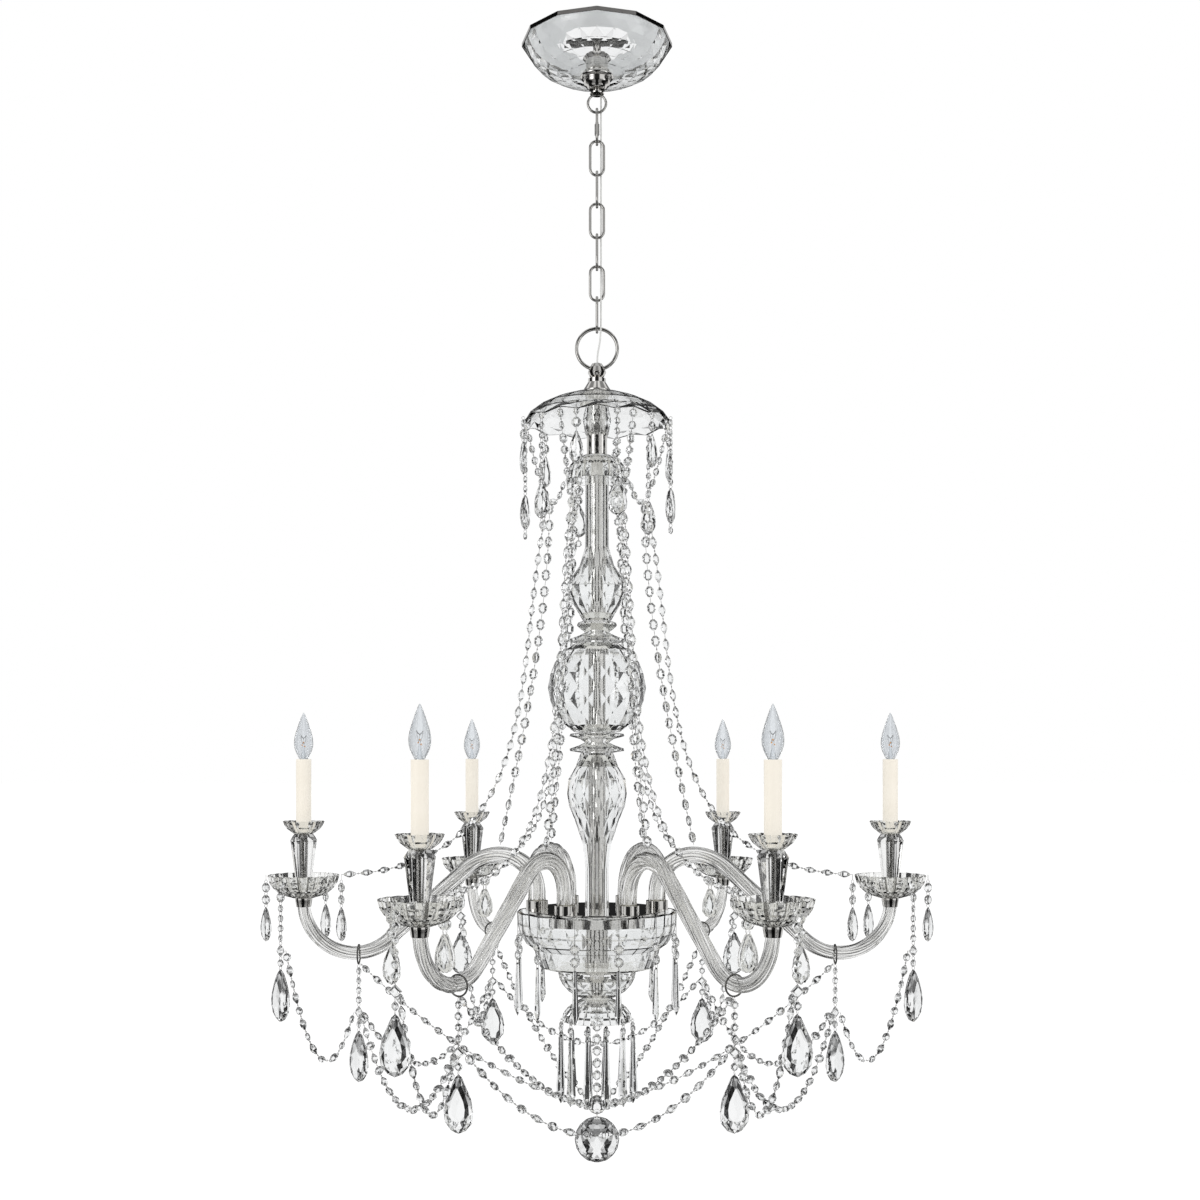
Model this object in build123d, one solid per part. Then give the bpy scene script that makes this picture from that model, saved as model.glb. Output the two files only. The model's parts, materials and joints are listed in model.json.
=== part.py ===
"""Crystal chandelier: six glass arms on a glass column, hung on a chain from a ceiling canopy.

Millimetres, +Z up. The origin is the middle of the ceiling plane, so everything hangs below z = 0.
Glass pieces are cut with flat faces: a profile of (radius, height) corners repeated round a polygon.
"""
from build123d import *
import math
import os

# ---- clearances
FIT = 0.3  # between pieces that move on each other
SLIP = 0.6  # round a tube that passes through a bore
WIRE = 0.9  # radius of the pinning wire between crystals
PIVOT_GAP = 0.7  # under a stone that swings

# ---- ceiling canopy
CANOPY_SIDES = 12
CANOPY_R = 124.0
CANOPY_LIP = 6.0
CANOPY_SHEET = 1.5
BOX_OPENING_R = 58.0  # hole in the plate over the ceiling box
DISH_DEPTH = 47.0
DISH_GLASS = 5.0
STRAP_LENGTH = 106.0
STRAP_WIDTH = 20.0
STRAP_THICK = 2.5
STRAP_SLOT_SPACING = 80.0
STRAP_SLOT_LENGTH = 12.0
STRAP_SLOT_R = 2.4
STEM_R = 6.0
BARREL_R = 23.0
BARREL_HEIGHT = 26.0
COLLAR_R = 28.0
COLLAR_STEP = 6.0
COLLAR_HEIGHT = 24.0
COLLAR_TRAVEL = 4.0  # thread that the ring nut runs down before it is off
STEM_FLANGE_R = 12.0  # foot of the stem, where the cord comes out beside the eye
STEM_FLANGE = 3.0

# ---- chain, from the loop under the canopy to the ring on top of the fixture
LOOP_WIRE_R = 2.1
LOOP_R = 14.9  # to the middle of the wire
LINK_WIRE_R = 2.25
LINK_LENGTH = 61.0
LINK_WIDTH = 27.0
LINK_COUNT = 7
SLEEVE_NUT_R = 4.0
SLEEVE_NUT_LENGTH = 20.0
RING_WIRE_R = 2.9
RING_R = 33.6  # to the middle of the wire
CORD_R = 1.4
CORD_SIDE = 6.6  # how far the cord runs from the middle of the chain, to the side and to the back
CORD_CROSSING = 18.0  # half the height over which it crosses through the last open link but one

# ---- ring holder
HOLDER_BALL_R = 15.0
HOLDER_DOME_R = 12.0
HOLDER_NECK_R = 8.5
HOLDER_BEAD_R = 14.5
HOLDER_FOOT_R = 23.0
HOLDER_TOP_R = 8.0
HOLDER_TOP = 9.0  # flat top above the ring's wire
HOLDER_BEAD_HEIGHT = 9.0
HOLDER_HEIGHT = 37.0  # from the ring's wire down to the crown
HOLDER_SOCKET = 12.0  # how far the column tube goes up into the holder
RING_PLAY = 0.9

# ---- glass column, each height from one piece's seat to the next
TUBE_R = 13.5
TUBE_WALL = 1.5
TUBE_FIT = 0.1  # round the tube's threaded ends
SIDES = 12  # flats round most of the glass
STONE_SIDES = 6  # flats round a hanging stone
ALMOND_FLAT = 0.5  # thickness of a flat stone over its width
LOZENGE_FLAT = 0.8
GLASS_WALL = 6.0
CROWN_R = 123.0
CROWN_HEIGHT = 55.0
CROWN_SCALLOP = 7.0
CROWN_GLASS = 5.0
CROWN_BALL_R = 23.0
CROWN_BALL_HEIGHT = 68.0
CROWN_SLEEVE_R = 16.5
CROWN_SLEEVE_HEIGHT = 33.0
RECEIVER_R = 53.0
RECEIVER_HEIGHT = 42.0
RECEIVER_GLASS = 4.0
URN_NECK_R = 19.5
URN_BELLY_R = 51.0
UPPER_URN_HEIGHT = 268.0
LOWER_URN_HEIGHT = 257.0
SAUCER_R = 47.0
SAUCER_WAIST_R = 20.0
UPPER_SAUCER_HEIGHT = 38.0
LOWER_SAUCER_HEIGHT = 35.0
SAUCER_EDGE = 4.0
BALL_R = 82.0
BALL_HEIGHT = 145.0

# ---- hub
PLATE_R = 114.0
PLATE_THICK = 3.0
PLATE_LIP = 7.0
CUP_R = 78.0
CUP_HEIGHT = 26.0
CUP_SHEET = 2.0
BOWL_R = 137.0
BOWL_STEP_R = 112.0
BOWL_FOOT_R = 67.0
BOWL_HEIGHT = 97.0
BOWL_STEP_HEIGHT = 56.0
BOWL_GLASS = 5.0
HALF_BALL_R = 66.0
HALF_BALL_HEIGHT = 48.0
BELL_R = 62.0
BELL_HEIGHT = 36.0
BELL_GLASS = 4.0
CAP_R = 20.0
CAP_HEIGHT = 7.0
CAP_FLOOR = 3.0

# ---- arms
ARM_COUNT = 6
ARM_ROOT_R = 99.0  # from the middle of the fixture to where an arm rises
ARM_REACH = 484.0
ARM_RISE = 28.0
ARM_THICK = 15.0
ARM_THIN = 10.5
ARM_RIBS = 8
ARCH_INNER = 61.0
ARCH_OUTER = 80.0
ARM_SLOPE = 42.5
ARM_LOW = 84.0
ARM_TIP = 4.0
SOCKET_WALL = 2.5
SOCKET_DEPTH = 14.0
HOOK_RING_BACK = 7.0  # the wire ring round an arm hangs this far inside its lowest point
HOOK_RING_WIRE = 1.4
HOOK_RING_R = 15.5

# ---- candle on each arm, from the arm's tip up
FERRULE_WALL = 3.0
FERRULE_DEPTH = 12.0
PAN_R = 61.0
PAN_HEIGHT = 38.0
PAN_FOOT_R = 18.0
PAN_GLASS = 4.0
POST_HEIGHT = 102.0
POST_SIDES = 8
POST_SHOULDER_R = 22.5
POST_FOOT_R = 13.5
POST_NECK_R = 15.0
CANDLE_DISH_R = 36.0
CANDLE_DISH_HEIGHT = 21.0
CANDLE_DISH_GLASS = 3.5
CANDLE_R = 12.5
CANDLE_WALL = 1.2
CANDLE_HEIGHT = 119.0
NIPPLE_R = 4.8
SCREW_R = 6.0  # the bulb's screw cap
SCREW_LENGTH = 17.0
BULB_R = 15.7
BULB_HEIGHT = 78.0

# ---- hanging crystals: half width and length of each cut
BEAD = (5.5, 11.0)
OCTAGON = (7.5, 15.0)
LOZENGE = (10.0, 19.0)
SMALL_ALMOND = (11.5, 53.0)
PAN_ALMOND = (14.5, 56.0)
CROWN_ALMOND = (16.0, 58.0)
LARGE_ALMOND = (22.0, 84.0)
BOWL_PRISM = (7.0, 86.0)
BELL_PRISM = (9.5, 112.0)
SHORT_CROWN_STRING = (BEAD, OCTAGON, SMALL_ALMOND)
LONG_CROWN_STRING = (BEAD,) * 7 + (CROWN_ALMOND, BEAD)
PAN_STRING = (OCTAGON, OCTAGON) + (BEAD,) * 4 + (LOZENGE, BEAD)
ARM_STRING = (BEAD,) * 4 + (LOZENGE, BEAD)
PIN_GAP = 5.0  # wire shown between two crystals
PAN_PIN = 9.0  # longer wire from a pan's rim
BOWL_PIN = 36.0  # longer wire from the bowl's rim
CROWN_DROPS = 12
BOWL_DROPS = 12
BELL_DROPS = 12
STRING_BEAD_R = 4.6
STRING_PITCH = 40.0
JUNCTION_R = 79.0  # where the swags under the crown meet the long strings
JUNCTION_DROP = 130.0
STRING_APART = 1.2
CROWN_SAG = 16.0
LONG_LEAD_OUT = (61.0, -271.0)
LONG_LEAD_IN = (-347.0, 11.0)
SHORT_LEAD_OUT = (2.0, -186.0)
SHORT_LEAD_IN = (-42.0, 198.0)
PAIR_SAG = 118.0
PAN_SAG = 124.0
CENTRE_SAG = 34.0
SMALL_BALL_R = 15.5
SMALL_BALL_DROP = 161.0
FINIAL_R = 37.0
FINIAL_PIN = 4.0


def drop_length(*kinds):
    """Length of a string of stones with their pinning wire."""
    return sum(PIN_GAP + kind[1] for kind in kinds)


# ---- levels worked out from the sizes above
dish_floor_z = -(CANOPY_LIP + DISH_DEPTH)
stem_foot_z = dish_floor_z - COLLAR_HEIGHT - COLLAR_TRAVEL - 2 * FIT - STEM_FLANGE
loop_z = stem_foot_z - LOOP_R
link_pitch = LINK_LENGTH - 4 * LINK_WIRE_R - FIT
link_reach = LINK_LENGTH / 2 - LINK_WIRE_R  # from a link's middle to the middle of its end wire
first_link_z = loop_z - LOOP_R + LOOP_WIRE_R + LINK_WIRE_R + FIT - link_reach
last_link_z = first_link_z - (LINK_COUNT - 1) * link_pitch
ring_z = last_link_z - link_reach + LINK_WIRE_R + RING_WIRE_R + FIT - RING_R
holder_z = ring_z - RING_R
crown_z = holder_z - HOLDER_HEIGHT
crown_ball_z = crown_z - CROWN_GLASS
crown_sleeve_z = crown_ball_z - CROWN_BALL_HEIGHT
receiver_z = crown_sleeve_z - CROWN_SLEEVE_HEIGHT
upper_urn_z = receiver_z - RECEIVER_GLASS
upper_saucer_z = upper_urn_z - UPPER_URN_HEIGHT
ball_z = upper_saucer_z - UPPER_SAUCER_HEIGHT
lower_saucer_z = ball_z - BALL_HEIGHT
lower_urn_z = lower_saucer_z - LOWER_SAUCER_HEIGHT
plate_z = lower_urn_z - LOWER_URN_HEIGHT
cup_z = plate_z - PLATE_THICK
bowl_rim_z = plate_z - PLATE_THICK
bowl_foot_z = bowl_rim_z - BOWL_HEIGHT
bell_z = bowl_foot_z - HALF_BALL_HEIGHT
cap_z = bell_z - BELL_GLASS
bell_rim_z = bell_z - BELL_HEIGHT
holder_top_z = holder_z + HOLDER_TOP
crown_rim_z = crown_z - CROWN_HEIGHT + CROWN_SCALLOP
receiver_rim_z = receiver_z - RECEIVER_HEIGHT
junction_z = crown_rim_z - JUNCTION_DROP
tube_top_z = crown_z + HOLDER_SOCKET
tube_end_z = cap_z - CAP_HEIGHT
cap_foot_z = tube_end_z - CAP_FLOOR

bore_r = TUBE_R + SLIP
small_ball_z = cap_foot_z - SMALL_BALL_DROP
finial_pivot_z = small_ball_z - SMALL_BALL_R - PIVOT_GAP

root_z = plate_z
slope = math.radians(ARM_SLOPE)
arch_top_z = root_z + ARM_RISE + ARCH_INNER
arch_end_r = ARM_ROOT_R + ARCH_INNER + ARCH_OUTER * math.sin(slope)
arch_end_z = arch_top_z - ARCH_OUTER * (1 - math.cos(slope))
fall_end_r = ARM_REACH - ARM_LOW * (1 + math.sin(slope))
fall_length = (fall_end_r - arch_end_r) / math.cos(slope)
fall_end_z = arch_end_z - fall_length * math.sin(slope)
arm_tip_z = fall_end_z + ARM_LOW * math.cos(slope) + ARM_TIP
arm_low_z = arm_tip_z - ARM_TIP - ARM_LOW

pan_z = arm_tip_z + FERRULE_WALL
post_z = pan_z + PAN_GLASS
candle_dish_z = post_z + POST_HEIGHT
candle_z = candle_dish_z + CANDLE_DISH_GLASS
candle_top_z = candle_z + CANDLE_HEIGHT
socket_mouth_z = candle_top_z - 1.5
bulb_seat_z = socket_mouth_z + FIT
hook_ring_at = ARM_REACH - ARM_LOW - HOOK_RING_BACK
hook_arm_r = ARM_THIN + 0.25 * (ARM_THICK - ARM_THIN)
hook_ring_z = arm_low_z + hook_arm_r + HOOK_RING_WIRE - HOOK_RING_R + FIT
arm_string_z = hook_ring_z - HOOK_RING_R - HOOK_RING_WIRE - FIT
pan_rim_z = pan_z + PAN_HEIGHT
lozenge_z = arm_string_z - drop_length(*ARM_STRING[:-1]) + LOZENGE[1] / 2
pendant_z = arm_string_z - drop_length(*ARM_STRING) - PIVOT_GAP
arm_angles = [360 * k / ARM_COUNT for k in range(ARM_COUNT)]


# ---- shared shapes
def polar(radius, angle, z):
    """A point at this distance and angle from the middle of the fixture."""
    turn = math.radians(angle)
    return Vector(radius * math.cos(turn), radius * math.sin(turn), z)


def polyhedron(faces):
    """A solid bounded by flat polygons."""
    return Solid(Shell([Face(Wire.make_polygon(corners, close=True)) for corners in faces]))


def polygon_ring(radius, z, sides, turn=0.0):
    return [polar(radius, turn + 360 * k / sides, z) for k in range(sides)]


def polygon_edge(radius, angle, sides=SIDES):
    """How far a polygon's edge stands out at an angle, where a corner stands at angle 0."""
    half_step = 180 / sides
    from_flat = math.radians(angle % (2 * half_step) - half_step)
    return radius * math.cos(math.radians(half_step)) / math.cos(from_flat)


def rim_pin(rim_r, angle, z):
    """Where a stone is pinned just outside a cut rim."""
    return polar(polygon_edge(rim_r, angle) + WIRE + FIT, angle, z)


def cut_glass(profile, sides=12, turn=0.0, scallop=None):
    """A closed (radius, z) profile taken round a polygon; corners in scallop hang lower between its corners."""
    rings = [polygon_ring(radius, z, sides, turn) for radius, z in profile]
    for index, drop in (scallop or {}).items():
        rings[index] = [point - Vector(0, 0, drop * (k % 2)) for k, point in enumerate(rings[index])]
    faces = []
    for upper, lower in zip(rings, rings[1:] + rings[:1]):
        for k in range(sides):
            m = (k + 1) % sides
            quad = [upper[k], upper[m], lower[m], lower[k]]
            if scallop:
                faces += [[quad[0], quad[1], quad[3]], [quad[1], quad[2], quad[3]]]
            else:
                faces.append(quad)
    return polyhedron(faces)


def flat_radius(radius, sides=12):
    """Corner radius of a polygon whose flats stand at this radius."""
    return radius / math.cos(math.pi / sides)


def turned(profile):
    """A metal piece turned from a closed (radius, z) outline."""
    outline = Polyline(*[(radius, z) for radius, z in profile], close=True)
    return revolve(Plane.XZ * make_face(outline), Axis.Z).solid()


def hollow(outer, wall, bore):
    """Close an outer profile, listed downwards, with an inner one that leaves this wall and a bore."""
    top, bottom = outer[0][1], outer[-1][1]
    inner = [(max(radius - wall, bore), z) for radius, z in outer if bottom + wall < z < top - wall]
    ends = [(bore, top)], [(bore, bottom), (bore, bottom + wall)], [(bore, top - wall)]
    return ends[0] + outer + ends[1] + inner[::-1] + ends[2]


def gem(profile, at, flat=1.0, yaw=0.0, sides=STONE_SIDES):
    """A cut stone: (half width, drop) corners below a point, thinner by flat along the yaw direction."""
    face_dir = math.radians(yaw)
    across = Vector(-math.sin(face_dir), math.cos(face_dir), 0)
    through = Vector(math.cos(face_dir), math.sin(face_dir), 0)
    rings = []
    for half_width, drop in profile:
        ring = []
        for k in range(sides):
            turn = 2 * math.pi * k / sides
            offset = across * (half_width * math.cos(turn)) + through * (half_width * flat * math.sin(turn))
            ring.append(at + offset - Vector(0, 0, drop))
        rings.append(ring)
    faces = [rings[0], rings[-1]]
    for upper, lower in zip(rings, rings[1:]):
        for k in range(sides):
            m = (k + 1) % sides
            faces.append([upper[k], upper[m], lower[m], lower[k]])
    return polyhedron(faces)


def stone_profile(kind):
    """Half widths and drops of one stone, without the wire above it."""
    half_width, length = kind
    if kind in (BOWL_PRISM, BELL_PRISM):
        return [(half_width * 0.45, 0), (half_width, length * 0.86), (WIRE, length)]
    if kind in (SMALL_ALMOND, PAN_ALMOND, LARGE_ALMOND):
        return [(WIRE, 0), (half_width * 0.5, length * 0.27), (half_width, length * 0.64), (WIRE, length)]
    return [(WIRE, 0), (half_width, length * 0.5), (WIRE, length)]


def drop_profile(*kinds, start=0.0):
    """Stones pinned one under another, on the wire that joins them."""
    profile = [(WIRE, 0.0)]
    level = start
    for kind in kinds:
        level += PIN_GAP
        profile += [(half_width, level + drop) for half_width, drop in stone_profile(kind)]
        level += kind[1]
    return profile


def string_of_beads(curve):
    """Square-cut beads along a curve, joined by thin necks."""
    count = max(2, round(curve.length / STRING_PITCH))
    chord = (curve @ 1) - (curve @ 0)
    side = Vector(-chord.Y, chord.X, 0).normalized()
    rings = []
    for k in range(2 * count + 1):
        centre = curve @ (k / (2 * count))
        up = (curve % (k / (2 * count))).cross(side)
        radius = STRING_BEAD_R if k % 2 else WIRE
        rings.append([centre + side * radius, centre + up * radius,
                      centre - side * radius, centre - up * radius])
    faces = [rings[0], rings[-1]]
    for upper, lower in zip(rings, rings[1:]):
        for k in range(4):
            m = (k + 1) % 4
            faces += [[upper[k], upper[m], lower[m]], [upper[k], lower[m], lower[k]]]
    return polyhedron(faces)


def swag(start, end, sag):
    """A string that hangs between two points."""
    middle = (start + end) * 0.5 - Vector(0, 0, 2 * sag)
    return string_of_beads(Bezier(start, middle, end))


def round_wire(path, radius):
    """A wire of round section along a path."""
    section = Plane(origin=path @ 0, z_dir=path % 0) * Circle(radius)
    return sweep(section, path=path).solid()


def on_each_arm(solid):
    return [Rot(0, 0, angle) * solid for angle in arm_angles]


def pieces(solids):
    """Several separate solids kept together under one name."""
    return Compound(children=list(solids))


# ---- ceiling canopy
def ceiling_plate():
    across = flat_radius(BOX_OPENING_R, CANOPY_SIDES)
    inside = CANOPY_R - CANOPY_SHEET
    return cut_glass(
        [(across, 0), (CANOPY_R, 0), (CANOPY_R, -CANOPY_LIP), (inside, -CANOPY_LIP),
         (inside, -CANOPY_SHEET), (across, -CANOPY_SHEET)], CANOPY_SIDES)


def mounting_strap():
    strap = Pos(0, 0, -STRAP_THICK / 2) * Box(STRAP_LENGTH, STRAP_WIDTH, STRAP_THICK)
    slot = SlotOverall(STRAP_SLOT_LENGTH, 2 * STRAP_SLOT_R)
    slots = [Pos(side * STRAP_SLOT_SPACING / 2, 0, 0) * slot for side in (-1, 1)]
    strap -= extrude(Sketch() + slots, -STRAP_THICK)
    strap -= extrude(Circle(STEM_R + FIT), -STRAP_THICK)
    return strap.solid()


def canopy_dish():
    rim = CANOPY_R - CANOPY_SHEET - SLIP
    top = -CANOPY_SHEET
    depth = top - dish_floor_z
    bore = flat_radius(STEM_R + SLIP, CANOPY_SIDES)
    bends = [(1.0, 0.0), (0.96, 0.3), (0.84, 0.66), (0.64, 0.9), (0.4, 1.0)]
    outer = [(rim * share, top - depth * drop) for share, drop in bends]
    inner = [(rim * share - DISH_GLASS, top - (depth - DISH_GLASS) * drop) for share, drop in bends]
    floor = [(bore, dish_floor_z), (bore, dish_floor_z + DISH_GLASS)]
    return cut_glass(outer + floor + inner[::-1], CANOPY_SIDES)


def canopy_loop():
    """The stem through the canopy, with the barrel that the dish hangs under and the eye at its foot."""
    seat = dish_floor_z + DISH_GLASS
    barrel_top = seat + BARREL_HEIGHT
    stem = turned([(0, -FIT), (STEM_R, -FIT), (STEM_R, barrel_top), (BARREL_R, barrel_top),
                   (BARREL_R, seat), (STEM_R, seat), (STEM_R, stem_foot_z + STEM_FLANGE),
                   (STEM_FLANGE_R, stem_foot_z + STEM_FLANGE), (STEM_FLANGE_R, stem_foot_z), (0, stem_foot_z)])
    eye = Pos(0, 0, loop_z) * Rot(90, 0, 0) * Torus(LOOP_R, LOOP_WIRE_R)
    return (stem + eye).solid()


def canopy_collar():
    """Stepped ring nut that holds the canopy up against the ceiling."""
    low = dish_floor_z - COLLAR_HEIGHT
    bore = STEM_R + FIT
    second = COLLAR_R - COLLAR_STEP
    third = second - COLLAR_STEP
    top = dish_floor_z - FIT
    return turned([(bore, top), (COLLAR_R, top), (COLLAR_R, top - COLLAR_HEIGHT * 0.25),
                   (second, top - COLLAR_HEIGHT * 0.4), (second, top - COLLAR_HEIGHT * 0.7),
                   (third, top - COLLAR_HEIGHT * 0.8), (third, low), (bore, low)])


# ---- chain
def chain_link(index):
    """Link number index, counted down from the canopy; odd ones are turned a quarter."""
    bend = LINK_WIDTH / 2 - LINK_WIRE_R
    middle_line = Plane.XZ * Rot(0, 0, 90) * SlotCenterToCenter(2 * (link_reach - bend), 2 * bend)
    turn = 90 if index % 2 else 0
    z = first_link_z - (index - 1) * link_pitch
    return Pos(0, 0, z) * Rot(0, 0, turn) * round_wire(middle_line.wire(), LINK_WIRE_R)


def quick_link():
    """The first link opens: a sleeve nut closes the gap in its side."""
    side = LINK_WIDTH / 2 - LINK_WIRE_R
    hexagon = RegularPolygon(SLEEVE_NUT_R, 6)
    nut = Pos(0, side, first_link_z) * extrude(hexagon, SLEEVE_NUT_LENGTH / 2, both=True)
    return (chain_link(1) + nut).solid()


def suspension_ring():
    return (Pos(0, 0, ring_z) * Rot(90, 0, 0) * Torus(RING_R, RING_WIRE_R)).solid()


def supply_cord():
    """Runs down behind the chain, crosses to the front through the last link but one, into the holder."""
    crossing_z = first_link_z - (LINK_COUNT - 2) * link_pitch
    entry = HOLDER_TOP_R - CORD_R - FIT
    route = [
        Vector(CORD_SIDE, CORD_SIDE, stem_foot_z),
        Vector(CORD_SIDE, CORD_SIDE, crossing_z + CORD_CROSSING),
        Vector(CORD_SIDE, -CORD_SIDE, crossing_z - CORD_CROSSING),
        Vector(CORD_SIDE, -CORD_SIDE, ring_z + RING_R / 2),
        Vector(0.5, -entry, ring_z - RING_R / 3),
        Vector(0.5, -entry, holder_top_z),
    ]
    runs = [after - before for before, after in zip(route, route[1:])]
    radii = []
    for run, following in zip(runs, runs[1:]):
        half_turn = math.radians(run.get_angle(following)) / 2
        radii.append(0.45 * min(run.length, following.length) / math.tan(half_turn))
    path = FilletPolyline(*route, radius=radii)
    cord = round_wire(path, CORD_R)
    print("supply cord: length %.1f, radii %s, volume over section times length %.4f" % (
        path.length, [round(radius, 1) for radius in radii], cord.volume / (math.pi * CORD_R ** 2 * path.length)))
    return cord


# ---- ring holder
def ring_holder():
    """Turned knob on top of the column, with the curved hole that the ring passes through."""
    socket_r = TUBE_R + TUBE_FIT
    ball_low = holder_z - HOLDER_BALL_R * 0.9
    bead_low = ball_low - HOLDER_BEAD_HEIGHT
    outline = [(0, holder_top_z), (HOLDER_TOP_R, holder_top_z), (HOLDER_DOME_R, holder_z + RING_WIRE_R),
               (HOLDER_BALL_R, holder_z - HOLDER_BALL_R * 0.35), (HOLDER_DOME_R, holder_z - HOLDER_BALL_R * 0.75),
               (HOLDER_NECK_R, ball_low), (HOLDER_BEAD_R, ball_low - HOLDER_BEAD_HEIGHT / 4),
               (HOLDER_BEAD_R, bead_low), (socket_r + TUBE_WALL, bead_low), (HOLDER_FOOT_R, crown_z + TUBE_WALL),
               (HOLDER_FOOT_R, crown_z), (socket_r, crown_z), (socket_r, tube_top_z), (0, tube_top_z)]
    hole = Pos(0, 0, ring_z) * Rot(90, 0, 0) * Torus(RING_R, RING_WIRE_R + RING_PLAY)
    return (turned(outline) - hole).solid()


# ---- glass column
def dish(top_z, foot_r, bends, glass, bore, sides=SIDES, turn=0.0, scallop=0.0):
    """An upturned dish: bends are (radius, drop) corners from its flat top to its rim."""
    outer = [(foot_r, top_z)] + [(radius, top_z - drop) for radius, drop in bends]
    rim_r, rim_z = outer[-1]
    inner = [(radius - glass * 0.7, z - glass) for radius, z in outer[:-1]]
    profile = [(bore, top_z)] + outer + [(rim_r - glass, rim_z)] + inner[::-1] + [(bore, top_z - glass)]
    hanging = {len(outer): scallop, len(outer) + 1: scallop} if scallop else None
    return cut_glass(profile, sides, turn, hanging)


def crown_dish():
    height = CROWN_HEIGHT - CROWN_SCALLOP
    bends = [(CROWN_R * 0.61, height * 0.3), (CROWN_R * 0.8, height * 0.52), (CROWN_R * 0.97, height * 0.8),
             (CROWN_R, height)]
    bore = flat_radius(bore_r, 2 * SIDES)
    return dish(crown_z, HOLDER_FOOT_R + SLIP, bends, CROWN_GLASS, bore, 2 * SIDES, 0, CROWN_SCALLOP)


def crown_ball():
    profile = [(URN_NECK_R, 0), (URN_NECK_R, 0.34), (CROWN_BALL_R, 0.5), (CROWN_BALL_R, 0.72), (URN_NECK_R, 1)]
    outer = [(radius, crown_ball_z - CROWN_BALL_HEIGHT * drop) for radius, drop in profile]
    bore = flat_radius(bore_r)
    return cut_glass([(bore, outer[0][1])] + outer + [(bore, outer[-1][1])])


def crown_sleeve():
    low = crown_sleeve_z - CROWN_SLEEVE_HEIGHT
    return turned([(bore_r, crown_sleeve_z), (CROWN_SLEEVE_R, crown_sleeve_z), (CROWN_SLEEVE_R, low), (bore_r, low)])


def receiver_dish():
    bends = [(RECEIVER_R * 0.68, RECEIVER_HEIGHT * 0.16), (RECEIVER_R * 0.9, RECEIVER_HEIGHT * 0.48),
             (RECEIVER_R, RECEIVER_HEIGHT)]
    return dish(receiver_z, URN_NECK_R + RECEIVER_GLASS, bends, RECEIVER_GLASS, flat_radius(bore_r))


def upper_urn():
    """Long neck above, belly below."""
    bends = [(URN_NECK_R, 0), (URN_NECK_R, 0.55), (URN_NECK_R * 1.5, 0.66), (URN_BELLY_R, 0.79),
             (URN_BELLY_R * 0.94, 0.85), (URN_NECK_R * 1.6, 0.95), (URN_NECK_R * 1.2, 1)]
    outer = [(radius, upper_urn_z - UPPER_URN_HEIGHT * drop) for radius, drop in bends]
    return cut_glass(hollow(outer, GLASS_WALL, flat_radius(bore_r)))


def lower_urn():
    """Belly above, long neck below."""
    bends = [(URN_NECK_R * 1.4, 0), (URN_BELLY_R * 0.94, 0.17), (URN_BELLY_R, 0.26), (URN_BELLY_R * 0.8, 0.41),
             (URN_NECK_R * 1.25, 0.57), (URN_NECK_R, 0.74), (URN_NECK_R * 1.05, 1)]
    outer = [(radius, lower_urn_z - LOWER_URN_HEIGHT * drop) for radius, drop in bends]
    return cut_glass(hollow(outer, GLASS_WALL, flat_radius(bore_r)))


def saucer(top_z, height, upper_r):
    """Double-flared spacer between two column pieces."""
    seat = SAUCER_WAIST_R * 1.15
    bore = flat_radius(bore_r)
    bends = [(bore, 0), (seat, 0), (upper_r, height * 0.12), (upper_r, height * 0.12 + SAUCER_EDGE),
             (SAUCER_WAIST_R, height * 0.48), (SAUCER_R, height * 0.88 - SAUCER_EDGE), (SAUCER_R, height * 0.88),
             (seat, height), (bore, height)]
    return cut_glass([(radius, top_z - drop) for radius, drop in bends])


def centre_ball():
    """Large cut ball, flat at both poles."""
    top_latitude = math.asin(BALL_HEIGHT / 2 / BALL_R)
    bands = 6
    outer = []
    for k in range(bands + 1):
        latitude = top_latitude * (1 - 2 * k / bands)
        outer.append((BALL_R * math.cos(latitude), ball_z - BALL_HEIGHT / 2 + BALL_R * math.sin(latitude)))
    return cut_glass(hollow(outer, GLASS_WALL, flat_radius(bore_r)))


def centre_tube():
    inner = TUBE_R - TUBE_WALL
    return turned([(inner, tube_top_z), (TUBE_R, tube_top_z), (TUBE_R, tube_end_z), (inner, tube_end_z)])


# ---- hub
def arm_plate():
    """Plate that carries the arms: each stands in a socket cup on it."""
    lip = PLATE_R - PLATE_THICK
    low = plate_z - PLATE_THICK
    plate = turned([(bore_r, plate_z), (PLATE_R, plate_z), (PLATE_R, plate_z - PLATE_LIP), (lip, plate_z - PLATE_LIP),
                    (lip, low), (bore_r, low)])
    bore = ARM_THICK + SLIP
    top = plate_z + SOCKET_DEPTH
    root = plate_z - PLATE_THICK / 2
    ring = turned([(bore, root), (bore + SOCKET_WALL, root), (bore + SOCKET_WALL, top), (bore, top)])
    return (plate + on_each_arm(Pos(ARM_ROOT_R, 0, 0) * ring)).solid()


def hub_cup():
    """Metal cup for the wiring under the plate, with a boss down to the bowl's floor."""
    low = cup_z - CUP_HEIGHT
    floor = bowl_foot_z + BOWL_GLASS
    boss = bore_r + 2 * CUP_SHEET
    inner = CUP_R - CUP_SHEET
    return turned([(bore_r, cup_z), (boss, cup_z), (boss, low + CUP_SHEET), (inner, low + CUP_SHEET), (inner, cup_z),
                   (CUP_R, cup_z), (CUP_R, low), (boss, low), (boss, floor), (bore_r, floor)])


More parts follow.
